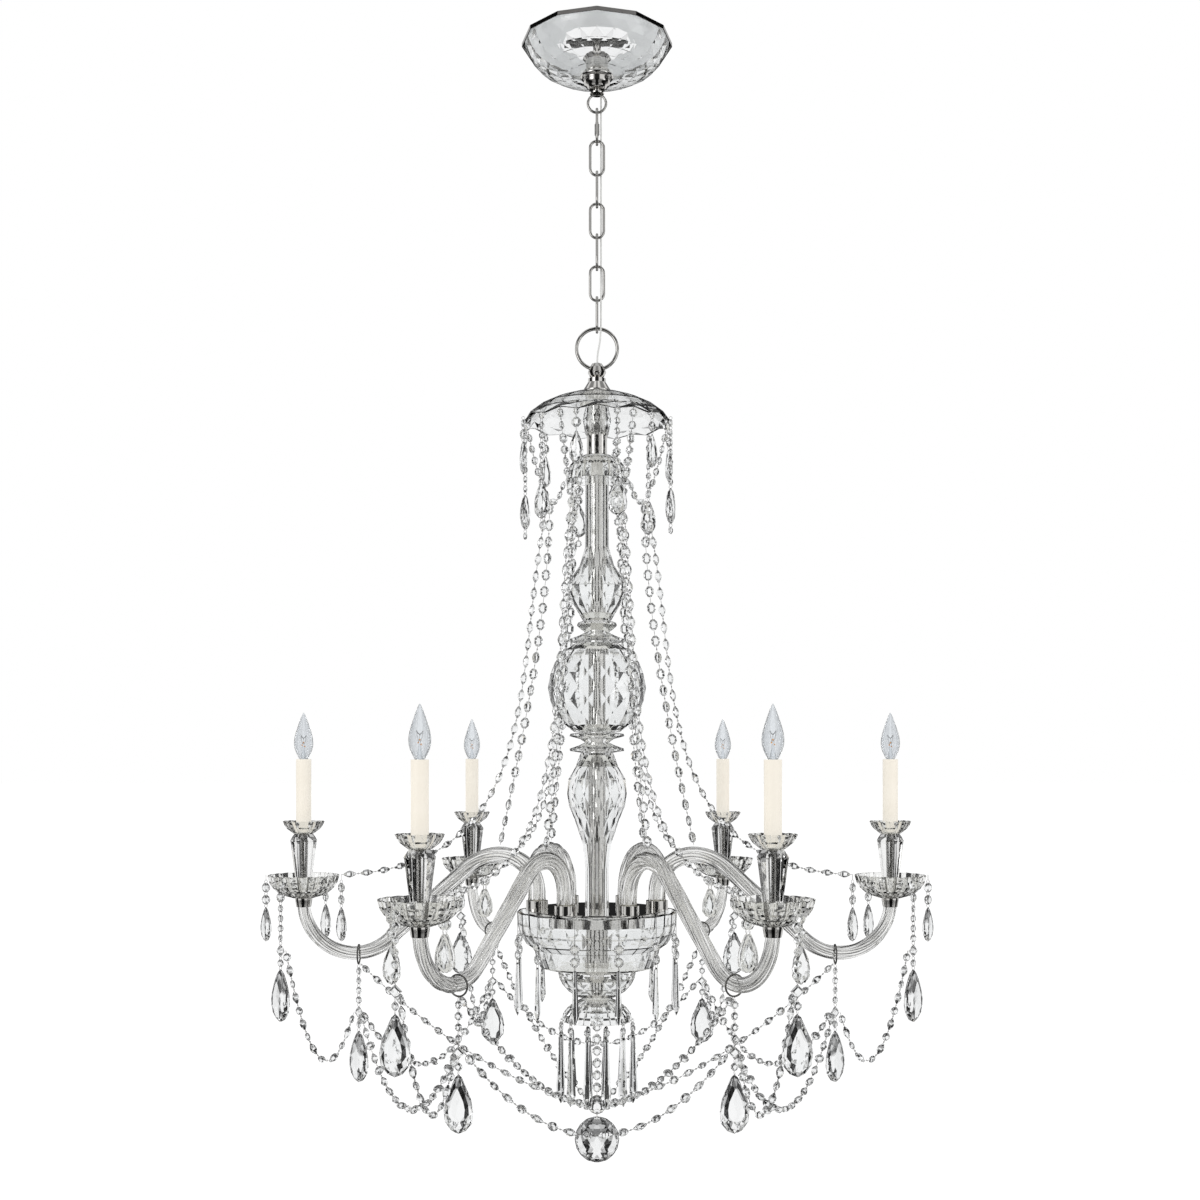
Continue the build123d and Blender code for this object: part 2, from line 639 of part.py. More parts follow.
def hub_bowl():
    """Open bowl round the hub, stepped in to a narrower lower tier."""
    tier = BOWL_HEIGHT - BOWL_STEP_HEIGHT
    bends = [(BOWL_R, 0), (BOWL_R * 0.955, BOWL_STEP_HEIGHT * 0.4), (BOWL_STEP_R, BOWL_STEP_HEIGHT),
             (BOWL_STEP_R * 0.93, BOWL_STEP_HEIGHT + tier * 0.08), (BOWL_STEP_R * 0.9, BOWL_STEP_HEIGHT + tier * 0.5),
             (BOWL_STEP_R * 0.76, BOWL_STEP_HEIGHT + tier * 0.92), (BOWL_FOOT_R, BOWL_HEIGHT)]
    outer = [(radius, bowl_rim_z - drop) for radius, drop in bends]
    inner = [(radius - BOWL_GLASS, min(z + BOWL_GLASS * 0.4, bowl_rim_z)) for radius, z in outer[:-1]]
    floor = bowl_foot_z + BOWL_GLASS
    bore = flat_radius(bore_r)
    profile = outer + [(bore, bowl_foot_z), (bore, floor), (BOWL_FOOT_R, floor)] + inner[:0:-1]
    return cut_glass(profile + [(BOWL_R - BOWL_GLASS, bowl_rim_z)])


def half_ball():
    """Half ball under the bowl, flat side up."""
    bands = 4
    outer = []
    for k in range(bands + 1):
        turn = math.radians(72) * k / bands
        drop = HALF_BALL_HEIGHT * math.sin(turn) / math.sin(math.radians(72))
        outer.append((HALF_BALL_R * math.cos(turn), bowl_foot_z - drop))
    return cut_glass(hollow(outer, GLASS_WALL, flat_radius(bore_r)))


def prism_dish():
    bends = [(BELL_R * 0.66, BELL_HEIGHT * 0.2), (BELL_R * 0.9, BELL_HEIGHT * 0.6), (BELL_R, BELL_HEIGHT)]
    return dish(bell_z, flat_radius(CAP_R) + BELL_GLASS, bends, BELL_GLASS, flat_radius(bore_r))


def end_cap():
    """Closed nut on the foot of the tube: it clamps the whole column and carries the centre string."""
    socket_r = TUBE_R + TUBE_FIT
    return turned([(0, cap_foot_z), (CAP_R * 0.6, cap_foot_z), (CAP_R, cap_z - CAP_FLOOR), (CAP_R, cap_z),
                   (socket_r, cap_z), (socket_r, tube_end_z), (0, tube_end_z)])


# ---- arms
def arm_path():
    with BuildLine(Plane.XZ) as line:
        rise = Line((ARM_ROOT_R, root_z), (ARM_ROOT_R, root_z + ARM_RISE))
        crest = JernArc(rise @ 1, rise % 1, ARCH_INNER, -90)
        shoulder = JernArc(crest @ 1, crest % 1, ARCH_OUTER, -ARM_SLOPE)
        fall = PolarLine(shoulder @ 1, fall_length, direction=shoulder % 1)
        low = JernArc(fall @ 1, fall % 1, ARM_LOW, 90 + ARM_SLOPE)
        Line(low @ 1, (ARM_REACH, arm_tip_z))
    return line.wire()


def glass_arm(angle):
    """Ribbed glass tube, thick at the hub and thin at the candle."""
    path = arm_path()
    side = Vector(0, 1, 0)
    root = Plane(origin=path @ 0, z_dir=path % 0, x_dir=side) * RegularPolygon(ARM_THICK, ARM_RIBS)
    tip = Plane(origin=path @ 1, z_dir=path % 1, x_dir=side) * RegularPolygon(ARM_THIN, ARM_RIBS)
    return Rot(0, 0, angle) * sweep([root.face(), tip.face()], path=path, multisection=True).solid()


def arm_hooks():
    """A wire ring hangs round each arm at its lowest stretch."""
    ring = Pos(hook_ring_at, 0, hook_ring_z) * Rot(0, 90, 0) * Torus(HOOK_RING_R, HOOK_RING_WIRE)
    return on_each_arm(ring.solid())


def on_candle_axis(solid):
    return on_each_arm(Pos(ARM_REACH, 0, 0) * solid)


def arm_ferrules():
    """Metal cup that joins an arm's tip to the nipple above it."""
    socket = ARM_THIN + SLIP
    outer = socket + FERRULE_WALL
    low = arm_tip_z - FERRULE_DEPTH
    bore = NIPPLE_R + SLIP
    return on_candle_axis(turned([(bore, pan_z), (outer, pan_z), (outer, arm_tip_z), (socket + 1, low), (socket, low),
                                  (socket, arm_tip_z), (bore, arm_tip_z)]))


def cup_profile(foot_z, height, rim_r, foot_r, glass, bore):
    """An open dish, listed up the outside, over the rim and down the inside."""
    bends = [(foot_r, 0), (rim_r * 0.56, 0.12), (rim_r * 0.8, 0.4), (rim_r * 0.95, 0.78), (rim_r, 1)]
    outer = [(radius, foot_z + height * rise) for radius, rise in bends]
    inner = [(radius - glass, foot_z + glass + (height - glass) * rise) for radius, rise in bends]
    return [(bore, foot_z)] + outer + inner[::-1] + [(bore, foot_z + glass)]


def drip_pans():
    bore = flat_radius(NIPPLE_R + SLIP)
    return on_candle_axis(cut_glass(cup_profile(pan_z, PAN_HEIGHT, PAN_R, PAN_FOOT_R, PAN_GLASS, bore)))


def candle_posts():
    """Cut crystal post: slim foot, broad bevelled shoulder."""
    bore = flat_radius(NIPPLE_R + SLIP, POST_SIDES)
    bends = [(POST_FOOT_R, 0), (POST_FOOT_R * 1.07, 0.34), (POST_SHOULDER_R, 0.89), (POST_NECK_R, 1)]
    outer = [(radius, post_z + POST_HEIGHT * rise) for radius, rise in bends]
    profile = [(bore, post_z)] + outer + [(bore, outer[-1][1])]
    return on_candle_axis(cut_glass(profile, POST_SIDES, 180 / POST_SIDES))


def candle_dishes():
    bore = flat_radius(NIPPLE_R + SLIP)
    foot_r = flat_radius(CANDLE_R + SLIP) + CANDLE_DISH_GLASS
    profile = cup_profile(candle_dish_z, CANDLE_DISH_HEIGHT, CANDLE_DISH_R, foot_r, CANDLE_DISH_GLASS, bore)
    return on_candle_axis(cut_glass(profile))


def lamp_sockets():
    """Threaded nipple up from the arm, with the lamp socket at its head."""
    outer = CANDLE_R - CANDLE_WALL - SLIP
    bore = SCREW_R + FIT
    floor = socket_mouth_z - SCREW_LENGTH - FIT
    return on_candle_axis(turned([(0, arm_tip_z), (NIPPLE_R, arm_tip_z), (NIPPLE_R, candle_z), (outer, candle_z),
                                  (outer, socket_mouth_z), (bore, socket_mouth_z), (bore, floor), (0, floor)]))


def candle_sleeves():
    inner = CANDLE_R - CANDLE_WALL
    return on_candle_axis(turned([(inner, candle_z), (CANDLE_R, candle_z), (CANDLE_R, candle_top_z),
                                  (inner, candle_top_z)]))


def bulb(angle):
    """Torpedo lamp on a small screw cap."""
    with BuildPart() as lamp:
        with BuildSketch(Plane.XZ):
            with BuildLine():
                glass = Spline((SCREW_R + 1, bulb_seat_z), (BULB_R, bulb_seat_z + BULB_HEIGHT * 0.36),
                               (BULB_R * 0.42, bulb_seat_z + BULB_HEIGHT * 0.82),
                               (1.2, bulb_seat_z + BULB_HEIGHT))
                Polyline(glass @ 1, (0, bulb_seat_z + BULB_HEIGHT), (0, bulb_seat_z - SCREW_LENGTH),
                         (SCREW_R, bulb_seat_z - SCREW_LENGTH), (SCREW_R, bulb_seat_z), glass @ 0)
            make_face()
        revolve(axis=Axis.Z)
    return Rot(0, 0, angle) * Pos(ARM_REACH, 0, 0) * lamp.part.solid()


# ---- hanging crystals
def half_way_to_view(angle):
    """Stones face half way between their arm's direction and the nearer of the front and the back."""
    front = 90 if 0 < angle < 180 else 270
    gap = (front - angle + 180) % 360 - 180
    return angle + gap / 2


def pan_string_angle(angle):
    """Where the long string hangs on a pan's rim: outwards and to the nearer of the front and the back."""
    towards = 1 if 0 < angle < 180 else -1
    sideways = 1 if math.cos(math.radians(angle)) > 0 else -1
    return math.degrees(math.atan2(towards * 0.9, sideways * 0.43))


def string_top(angle):
    """The point under a pan's rim where its long string is pinned."""
    return polar(ARM_REACH, angle, pan_rim_z) + rim_pin(PAN_R, pan_string_angle(angle), 0)


def crown_drops():
    stones = []
    for k in range(CROWN_DROPS):
        angle = 360 * (k + 0.5) / CROWN_DROPS
        at = polar(CROWN_R + WIRE + FIT, angle, crown_rim_z)
        kinds = LONG_CROWN_STRING if k % 2 else SHORT_CROWN_STRING
        stones.append(gem(drop_profile(*kinds), at, ALMOND_FLAT, angle))
    return stones


def bowl_drops():
    stones = []
    for k in range(BOWL_DROPS):
        angle = 360 * (k + 0.5) / BOWL_DROPS
        profile = drop_profile(OCTAGON, OCTAGON, BOWL_PRISM, start=BOWL_PIN)
        stones.append(gem(profile, rim_pin(BOWL_R, angle, bowl_rim_z), 0.6, angle))
    return stones


def pan_drops():
    stones = []
    for angle in arm_angles:
        centre = polar(ARM_REACH, angle, pan_rim_z)
        facing = half_way_to_view(angle)
        back = pan_string_angle(angle) + 180
        for side in (angle, angle + 180, back):
            at = centre + rim_pin(PAN_R, side, 0)
            stones.append(gem(drop_profile(OCTAGON, OCTAGON, PAN_ALMOND, start=PAN_PIN), at, ALMOND_FLAT, facing))
        stones.append(gem(drop_profile(*PAN_STRING, LARGE_ALMOND), string_top(angle), ALMOND_FLAT, facing))
    return stones


def rim_drops():
    return crown_drops() + bowl_drops() + pan_drops()


def prism_ring():
    stones = []
    for k in range(BELL_DROPS):
        angle = 360 * (k + 0.5) / BELL_DROPS
        stones.append(gem(drop_profile(BEAD, BELL_PRISM), rim_pin(BELL_R, angle, bell_rim_z), 0.7, angle))
    return stones


def long_strings(angle):
    """Two strings fall from each junction under the crown: one to the pan, one to the arm's crest."""
    junction = polar(JUNCTION_R, angle, junction_z)
    apart = polar(STRING_APART, angle, 0)
    down = Vector(0, 0, STRING_APART)
    rim = polar(CROWN_R - CROWN_GLASS - WIRE, angle, crown_rim_z)
    inner = polar(RECEIVER_R + WIRE + FIT, angle, receiver_rim_z)
    long_start = junction + apart - down
    long_end = polar(ARM_REACH - PAN_R - WIRE - FIT, angle, pan_rim_z)
    short_start = junction - apart - down
    short_end = polar(ARM_ROOT_R + ARCH_INNER, angle, arch_top_z + ARM_THICK + WIRE)
    return [
        string_of_beads(Bezier(long_start, long_start + polar(LONG_LEAD_OUT[0], angle, LONG_LEAD_OUT[1]),
                               long_end + polar(LONG_LEAD_IN[0], angle, LONG_LEAD_IN[1]), long_end)),
        string_of_beads(Bezier(short_start, short_start + polar(SHORT_LEAD_OUT[0], angle, SHORT_LEAD_OUT[1]),
                               short_end + polar(SHORT_LEAD_IN[0], angle, SHORT_LEAD_IN[1]), short_end)),
        swag(rim, junction + apart + down, CROWN_SAG),
        swag(inner, junction - apart + down, CROWN_SAG),
    ]


def beside(point, other, flat, yaw):
    """A point just outside a lozenge at point, on the way to another; flat and yaw as in gem."""
    way = Vector(other.X - point.X, other.Y - point.Y, 0).normalized()
    across = way.dot(polar(1, yaw + 90, 0))
    through = way.dot(polar(1, yaw, 0)) / flat
    edge = polygon_edge(LOZENGE[0], math.degrees(math.atan2(through, across)), STONE_SIDES)
    return point + way * (edge / math.hypot(across, through) + WIRE + FIT)


def arm_swags(angle):
    """Swags that hang from one arm: to the next arm, to its own pan's string and to the small centre ball."""
    lozenge = polar(hook_ring_at, angle, lozenge_z)
    facing = half_way_to_view(angle)
    next_angle = (angle + 360 / ARM_COUNT) % 360
    following = polar(hook_ring_at, next_angle, lozenge_z)
    pan_lozenge = string_top(angle) - Vector(0, 0, drop_length(*PAN_STRING[:-1]) - LOZENGE[1] / 2)
    ring_side = polar(hook_ring_at - HOOK_RING_WIRE - WIRE - FIT, angle, hook_ring_z - HOOK_RING_R)
    ball_side = polar(SMALL_BALL_R + WIRE + FIT, angle, small_ball_z)
    return [
        swag(beside(lozenge, following, LOZENGE_FLAT, facing),
             beside(following, lozenge, LOZENGE_FLAT, half_way_to_view(next_angle)), PAIR_SAG),
        swag(beside(pan_lozenge, lozenge, ALMOND_FLAT, facing),
             beside(lozenge, pan_lozenge, LOZENGE_FLAT, facing), PAN_SAG),
        swag(ring_side, ball_side, CENTRE_SAG),
    ]


def arm_string(angle):
    """Short string from the wire ring to the stone above the pendant."""
    at = polar(hook_ring_at, angle, arm_string_z)
    return gem(drop_profile(*ARM_STRING), at, LOZENGE_FLAT, half_way_to_view(angle))


def centre_string():
    """Beads down from the end cap to the small ball."""
    bead_count = int((SMALL_BALL_DROP - SMALL_BALL_R) // (OCTAGON[1] + PIN_GAP))
    profile = drop_profile(*[OCTAGON] * bead_count)
    top = SMALL_BALL_DROP - SMALL_BALL_R
    for latitude in (60, 20, -20, -60):
        turn = math.radians(latitude)
        profile.append((SMALL_BALL_R * math.cos(turn), SMALL_BALL_DROP - SMALL_BALL_R * math.sin(turn)))
    profile.insert(-4, (WIRE, top))
    profile.append((WIRE, SMALL_BALL_DROP + SMALL_BALL_R))
    return gem(profile, Vector(0, 0, cap_foot_z), sides=8)


def bead_strings():
    strings = [centre_string()]
    for angle in arm_angles:
        strings += long_strings(angle) + arm_swags(angle) + [arm_string(angle)]
    return strings


def pendant(angle):
    """Large almond that swings under each arm's string."""
    at = polar(hook_ring_at, angle, pendant_z)
    return gem(drop_profile(LARGE_ALMOND), at, ALMOND_FLAT, half_way_to_view(angle))


def finial_ball():
    """Largest cut ball, at the very bottom."""
    profile = [(WIRE, 0), (WIRE, FINIAL_PIN)]
    for latitude in (62, 38, 13, -13, -38, -62):
        turn = math.radians(latitude)
        profile.append((FINIAL_R * math.cos(turn), FINIAL_PIN + FINIAL_R * (1 - math.sin(turn))))
    profile.append((WIRE, FINIAL_PIN + 2 * FINIAL_R))
    return gem(profile, Vector(0, 0, finial_pivot_z), sides=10)


def all_nodes():
    nodes = {
        "ceiling_plate": ceiling_plate(), "mounting_strap": mounting_strap(), "canopy_dish": canopy_dish(),
        "canopy_loop": canopy_loop(), "canopy_collar": canopy_collar(), "quick_link": quick_link(),
        "suspension_ring": suspension_ring(), "supply_cord": supply_cord(), "ring_holder": ring_holder(),
        "crown_dish": crown_dish(), "crown_ball": crown_ball(), "crown_sleeve": crown_sleeve(),
        "receiver_dish": receiver_dish(), "upper_urn": upper_urn(),
        "upper_saucer": saucer(upper_saucer_z, UPPER_SAUCER_HEIGHT, SAUCER_R * 0.72), "centre_ball": centre_ball(),
        "lower_saucer": saucer(lower_saucer_z, LOWER_SAUCER_HEIGHT, SAUCER_R), "lower_urn": lower_urn(),
        "centre_tube": centre_tube(), "arm_plate": arm_plate(), "hub_cup": hub_cup(), "hub_bowl": hub_bowl(),
        "half_ball": half_ball(), "prism_dish": prism_dish(), "end_cap": end_cap(),
        "arm_ferrules": pieces(arm_ferrules()), "drip_pans": pieces(drip_pans()),
        "candle_posts": pieces(candle_posts()), "candle_dishes": pieces(candle_dishes()),
        "lamp_sockets": pieces(lamp_sockets()), "candle_sleeves": pieces(candle_sleeves()),
        "arm_hooks": pieces(arm_hooks()), "rim_drops": pieces(rim_drops()), "prism_ring": pieces(prism_ring()),
        "bead_strings": pieces(bead_strings()), "finial_ball": finial_ball(),
    }
    for index in range(2, LINK_COUNT + 1):
        nodes[f"chain_link_{index}"] = chain_link(index)
    for index, angle in enumerate(arm_angles, 1):
        nodes[f"glass_arm_{index}"] = glass_arm(angle)
        nodes[f"bulb_{index}"] = bulb(angle)
        nodes[f"pendant_{index}"] = pendant(angle)
    return nodes


os.makedirs("parts", exist_ok=True)
for name, shape in all_nodes().items():
    export_step(shape, f"parts/{name}.step")
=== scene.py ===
"""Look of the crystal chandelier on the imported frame: cut glass, nickel, candle lamps, studio.

Sizes are millimetres until piece() turns them into metres. The levels repeat those of part.py.
"""
import json
import random
from math import asin, atan2, cos, degrees, pi, radians, sin

import bmesh
import bpy
from mathutils import Matrix, Vector


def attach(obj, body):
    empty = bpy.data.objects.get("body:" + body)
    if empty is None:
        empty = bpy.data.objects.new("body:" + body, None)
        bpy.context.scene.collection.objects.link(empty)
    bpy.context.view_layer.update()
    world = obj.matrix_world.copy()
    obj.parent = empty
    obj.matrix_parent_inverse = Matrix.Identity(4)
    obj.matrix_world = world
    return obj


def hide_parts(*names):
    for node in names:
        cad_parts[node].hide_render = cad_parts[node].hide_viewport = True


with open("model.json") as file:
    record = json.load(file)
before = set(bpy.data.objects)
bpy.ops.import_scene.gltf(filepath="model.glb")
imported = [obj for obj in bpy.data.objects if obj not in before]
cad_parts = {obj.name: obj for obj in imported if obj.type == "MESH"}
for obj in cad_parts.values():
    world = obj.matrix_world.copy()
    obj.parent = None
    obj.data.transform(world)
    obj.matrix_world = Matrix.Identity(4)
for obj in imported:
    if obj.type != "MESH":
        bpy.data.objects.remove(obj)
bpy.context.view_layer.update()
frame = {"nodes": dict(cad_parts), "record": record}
random.seed(7)
TAU = 2 * pi
MM = 0.001  # metres in a millimetre
X, Y, Z = Vector((1, 0, 0)), Vector((0, 1, 0)), Vector((0, 0, 1))

# ---- sizes shared with part.py
CANOPY_R, CANOPY_SHEET, DISH_FLOOR, DISH_GLASS = 124.0, 1.5, -53.0, 5.0
BARREL_R, BARREL_H, COLLAR_R, COLLAR_H = 23.0, 26.0, 28.0, 24.0
STEM_R, STEM_FOOT, LOOP_R, LOOP_WIRE, LOOP_Z = 6.0, -84.6, 14.9, 2.1, -99.5
LINK_WIRE, LINK_WIDTH, LINK_COUNT = 2.25, 27.0, 7
FIRST_LINK, LINK_PITCH, LINK_REACH = -138.04, 51.7, 28.25
RING_R, RING_WIRE = 33.6, 2.9
CORD_SIDE, CORD_ENTRY, CORD_BEND_Z, CORD_CROSSING_Z, CORD_CROSSING = 6.6, 6.3, -250, -396.5, 18.0
TUBE_R, SLIP = 13.5, 0.6
BORE = TUBE_R + SLIP
ARM_COUNT, ARM_ROOT, ARM_REACH = 6, 99.0, 484.0
ARM_RISE, ARCH_INNER, ARCH_OUTER, ARM_SLOPE, ARM_LOW = 28.0, 61.0, 80.0, 42.5, 84.0
ARM_THICK, ARM_THIN = 15.0, 10.5
HOOK_AT, HOOK_WIRE, HOOK_R = 393.0, 1.4, 15.5
PAN_R, CROWN_R, CROWN_H, RECEIVER_R, BOWL_R, BELL_R = 61.0, 123.0, 48.0, 53.0, 137.0, 62.0
URN_NECK_R, URN_BELLY_R, UPPER_URN_H, LOWER_URN_H, CROWN_BALL_H = 19.5, 51.0, 268, 257, 68
BALL_R, BALL_HALF, HALF_BALL_R, HALF_BALL_H = 82.0, 72.5, 66.0, 48
POST_H, BULB_H, LAMP_BORE = 102, 78, 6.0
WIRE, FIT, PIN_GAP, PIVOT_GAP = 0.9, 0.3, 5.0, 0.7

# ---- hanging stones: half width and length
BEAD, OCTAGON, LOZENGE = (5.5, 11.0), (7.5, 15.0), (10.0, 19.0)
SMALL_ALMOND, PAN_ALMOND, CROWN_ALMOND, LARGE_ALMOND = (11.5, 53.0), (13.0, 56.0), (16.0, 58.0), (22.0, 84.0)
BOWL_PRISM, BELL_PRISM = (7.0, 86.0), (9.5, 112.0)
ROUND_BEAD, OVAL_BEAD, LARGE_BEAD, LONG_BEAD = (6.3, 12.6), (7.0, 17.5), (7.4, 14.8), (5.7, 20.0)
SHORT_CROWN = (BEAD, OCTAGON, SMALL_ALMOND)
LONG_CROWN = (BEAD,) * 7 + (CROWN_ALMOND, BEAD)
PAN_STRING = (OCTAGON, OCTAGON) + (BEAD,) * 4 + (LOZENGE, BEAD)
ARM_STRING = (BEAD,) * 4 + (LOZENGE, BEAD)
PAN_PIN, BOWL_PIN = 9.0, 36.0
JUNCTION_R, APART = 79.0, 1.2
SMALL_BALL_R, FINIAL_R, FINIAL_PIN = 15.5, 37.0, 4.0
RIM_STONES = 12  # round the crown, the bowl and the dish of long prisms
PIN_WIRE = 0.38  # radius of the wire between beads

# ---- bead strings: distance from bead to bead, and how far a string hangs through
TO_PAN_PITCH, TO_ARM_PITCH, CROWN_PITCH, LOWER_PITCH, UNDER_PAN_PITCH = 27.8, 27.0, 19.0, 26.0, 22.0
CROWN_SAG, CENTRE_SAG, BETWEEN_ARMS_SAG, UNDER_PAN_SAG = 16, 34, 118, 124
BESIDE_LOZENGE = 8.5

# ---- levels
RING_Z, HOLDER_Z, CROWN_Z, CROWN_RIM = -504.57, -538.17, -575.17, -623.17
CROWN_BALL_Z, RECEIVER_Z, RECEIVER_RIM = -580.17, -681.17, -723.17
UPPER_URN_Z, UPPER_SAUCER_Z, BALL_Z = -685.17, -953.17, -991.17
LOWER_SAUCER_Z, LOWER_URN_Z, PLATE_Z = -1136.17, -1171.17, -1428.17
BOWL_RIM, BOWL_FOOT, BELL_Z, BELL_RIM = -1431.17, -1528.17, -1576.17, -1612.17
CAP_FOOT, JUNCTION_Z = -1590.17, -753.17
SMALL_BALL_Z = CAP_FOOT - 161.0
FINIAL_PIVOT = SMALL_BALL_Z - SMALL_BALL_R - PIVOT_GAP
ARCH_TOP, ARM_TIP, ARM_LOW_CENTRE_Z = -1339.2, -1412.7, -1416.7
SLOPE_START, SLOPE_END = (214.05, -1360.2), (343.25, -1478.6)
PAN_Z, POST_Z, DISH_Z, CANDLE_Z, CANDLE_TOP = -1409.7, -1405.7, -1303.7, -1300.2, -1181.2
BULB_SEAT, PAN_RIM = -1182.4, -1371.7
HOOK_Z, ARM_STRING_Z, PENDANT_Z, ARM_LOZENGE_Z = -1502.85, -1520.05, -1624.75, -1598.55
arm_angles = [360 * k / ARM_COUNT for k in range(ARM_COUNT)]


# ---- nodes of the materials
def new_nodes(material):
    material.use_nodes = True
    tree = material.node_tree
    tree.nodes.clear()
    return tree


def node(tree, kind, **values):
    """A shader node; values with a socket's name set that socket, the others set the node itself."""
    made = tree.nodes.new("ShaderNode" + kind)
    for key, value in values.items():
        if key.startswith("s_"):
            made.inputs[key[2:].replace("_", " ")].default_value = value
        else:
            setattr(made, key, value)
    return made


def link(tree, start, end):
    tree.links.new(start, end)


def ramp(tree, stops):
    made = node(tree, "ValToRGB")
    elements = made.color_ramp.elements
    while len(elements) < len(stops):
        elements.new(0.5)
    for element, (place, value) in zip(elements, stops):
        element.position = place
        element.color = (value, value, value, 1)
    return made


def figure(tree, operation, first, second=None):
    """A sum on an output and a second output or number."""
    made = node(tree, "Math", operation=operation)
    link(tree, first, made.inputs[0])
    if isinstance(second, float):
        made.inputs[1].default_value = second
    elif second is not None:
        link(tree, second, made.inputs[1])
    return made.outputs[0]


def spread(tree, value, from_min=0.0, from_max=1.0, to_min=0.0, to_max=1.0):
    """A value moved from one range to another."""
    made = node(tree, "MapRange")
    ends = (("From Min", from_min), ("From Max", from_max), ("To Min", to_min), ("To Max", to_max))
    for label, number in ends:
        made.inputs[label].default_value = number
    link(tree, value, made.inputs["Value"])
    return made.outputs[0]


def colour_mix(tree, factor, first, second, blend_type="MIX"):
    made = node(tree, "Mix", data_type="RGBA", blend_type=blend_type)
    if isinstance(factor, float):
        made.inputs["Factor"].default_value = factor
    else:
        link(tree, factor, made.inputs["Factor"])
    link(tree, first, made.inputs[6])
    link(tree, second, made.inputs[7])
    return made.outputs[2]


def shader_mix(tree, factor, first, second):
    made = node(tree, "MixShader")
    if isinstance(factor, float):
        made.inputs[0].default_value = factor
    else:
        link(tree, factor, made.inputs[0])
    link(tree, first.outputs[0], made.inputs[1])
    link(tree, second.outputs[0], made.inputs[2])
    return made


def show(tree, shader, kind="OutputMaterial"):
    """Make a shader the surface of its material or world."""
    link(tree, shader.outputs[0], node(tree, kind).inputs["Surface"])


def make_surface_group():
    """Slow colour variation, fine roughness variation and a faint waviness, shared by every material."""
    group = bpy.data.node_groups.new("worn_surface", "ShaderNodeTree")
    sockets = {"INPUT": {"Scale": "Float", "Low": "Float", "High": "Float", "Dark": "Color", "Light": "Color",
                         "Wave": "Float"},
               "OUTPUT": {"Color": "Color", "Roughness": "Float", "Normal": "Vector"}}
    for way, kinds in sockets.items():
        for label, kind in kinds.items():
            group.interface.new_socket(name=label, in_out=way, socket_type="NodeSocket" + kind)
    start, end = group.nodes.new("NodeGroupInput"), group.nodes.new("NodeGroupOutput")
    coord = node(group, "TexCoord")
    broad = node(group, "TexNoise", s_Detail=3.0)
    fine = node(group, "TexNoise", s_Detail=5.0)
    rough = node(group, "MapRange")
    bump = node(group, "Bump", s_Distance=0.001)
    finer = figure(group, "MULTIPLY", start.outputs["Scale"], 6.0)
    colour = colour_mix(group, broad.outputs["Fac"], start.outputs["Dark"], start.outputs["Light"])
    for source, target in ((coord.outputs["Object"], broad.inputs["Vector"]),
                           (coord.outputs["Object"], fine.inputs["Vector"]),
                           (start.outputs["Scale"], broad.inputs["Scale"]), (finer, fine.inputs["Scale"]),
                           (fine.outputs["Fac"], rough.inputs["Value"]),
                           (start.outputs["Low"], rough.inputs["To Min"]),
                           (start.outputs["High"], rough.inputs["To Max"]),
                           (start.outputs["Wave"], bump.inputs["Strength"]),
                           (fine.outputs["Fac"], bump.inputs["Height"]),
                           (colour, end.inputs["Color"]), (rough.outputs["Result"], end.inputs["Roughness"]),
                           (bump.outputs["Normal"], end.inputs["Normal"])):
        link(group, source, target)
    return group


surface_group = make_surface_group()


def surface(tree, scale, low, high, dark, light, wave):
    made = node(tree, "Group", node_tree=surface_group)
    for label, value in (("Scale", scale), ("Low", low), ("High", high), ("Dark", (*dark, 1)),
                         ("Light", (*light, 1)), ("Wave", wave)):
        made.inputs[label].default_value = value
    return made


def wear(tree, shader, look):
    """Give a shader the colour, roughness and faint waviness of a surface."""
    for label, socket in (("Color", "Base Color"), ("Roughness", "Roughness"), ("Normal", "Normal")):
        link(tree, look.outputs[label], shader.inputs[socket])


def plain(name, metallic, scale, low, high, dark, light, wave):
    """A metal, plastic or wax-like surface."""
    material = bpy.data.materials.new(name)
    tree = new_nodes(material)
    shader = node(tree, "BsdfPrincipled", s_Metallic=metallic)
    wear(tree, shader, surface(tree, scale, low, high, dark, light, wave))
    show(tree, shader)
    return material


def glass(name, ior=1.52, dark=(0.93, 0.945, 0.95), light=(1.0, 1.0, 1.0), high=0.03, wave=0.03, scale=25.0,
          painted_glow_depth=6.0, thin=False):
    """Clear glass that lets shadow light through and stays bright where many facets lie behind each other.

    Past that many bounces it glows faintly, a painted glow in place of the light that would come through the
    facets behind; thin glass is mostly clear where it is seen face on.
    """
    material = bpy.data.materials.new(name)
    tree = new_nodes(material)
    shader = node(tree, "BsdfPrincipled", s_IOR=ior, s_Metallic=0.0)
    shader.inputs["Transmission Weight"].default_value = 1.0
    wear(tree, shader, surface(tree, scale, 0.0, high, dark, light, wave))
    path = node(tree, "LightPath")
    clear = node(tree, "BsdfTransparent", s_Color=(0.93, 0.94, 0.95, 1))
    clear_share = figure(tree, "MAXIMUM", path.outputs["Is Shadow Ray"], path.outputs["Is Diffuse Ray"])
    if thin:
        facing = node(tree, "LayerWeight", s_Blend=0.3).outputs["Facing"]
        clear_share = figure(tree, "MAXIMUM", clear_share, spread(tree, facing, 0.25, 0.85, 0.9, 0.0))
    through = shader_mix(tree, clear_share, shader, clear)
    # painted glow: past that many bounces the glass emits a faint warm grey in place of light coming through
    glow = node(tree, "Emission", s_Color=(0.74, 0.73, 0.69, 1), s_Strength=1.0)
    show(tree, shader_mix(tree, figure(tree, "GREATER_THAN", path.outputs["Ray Depth"], painted_glow_depth), through, glow))
    return material


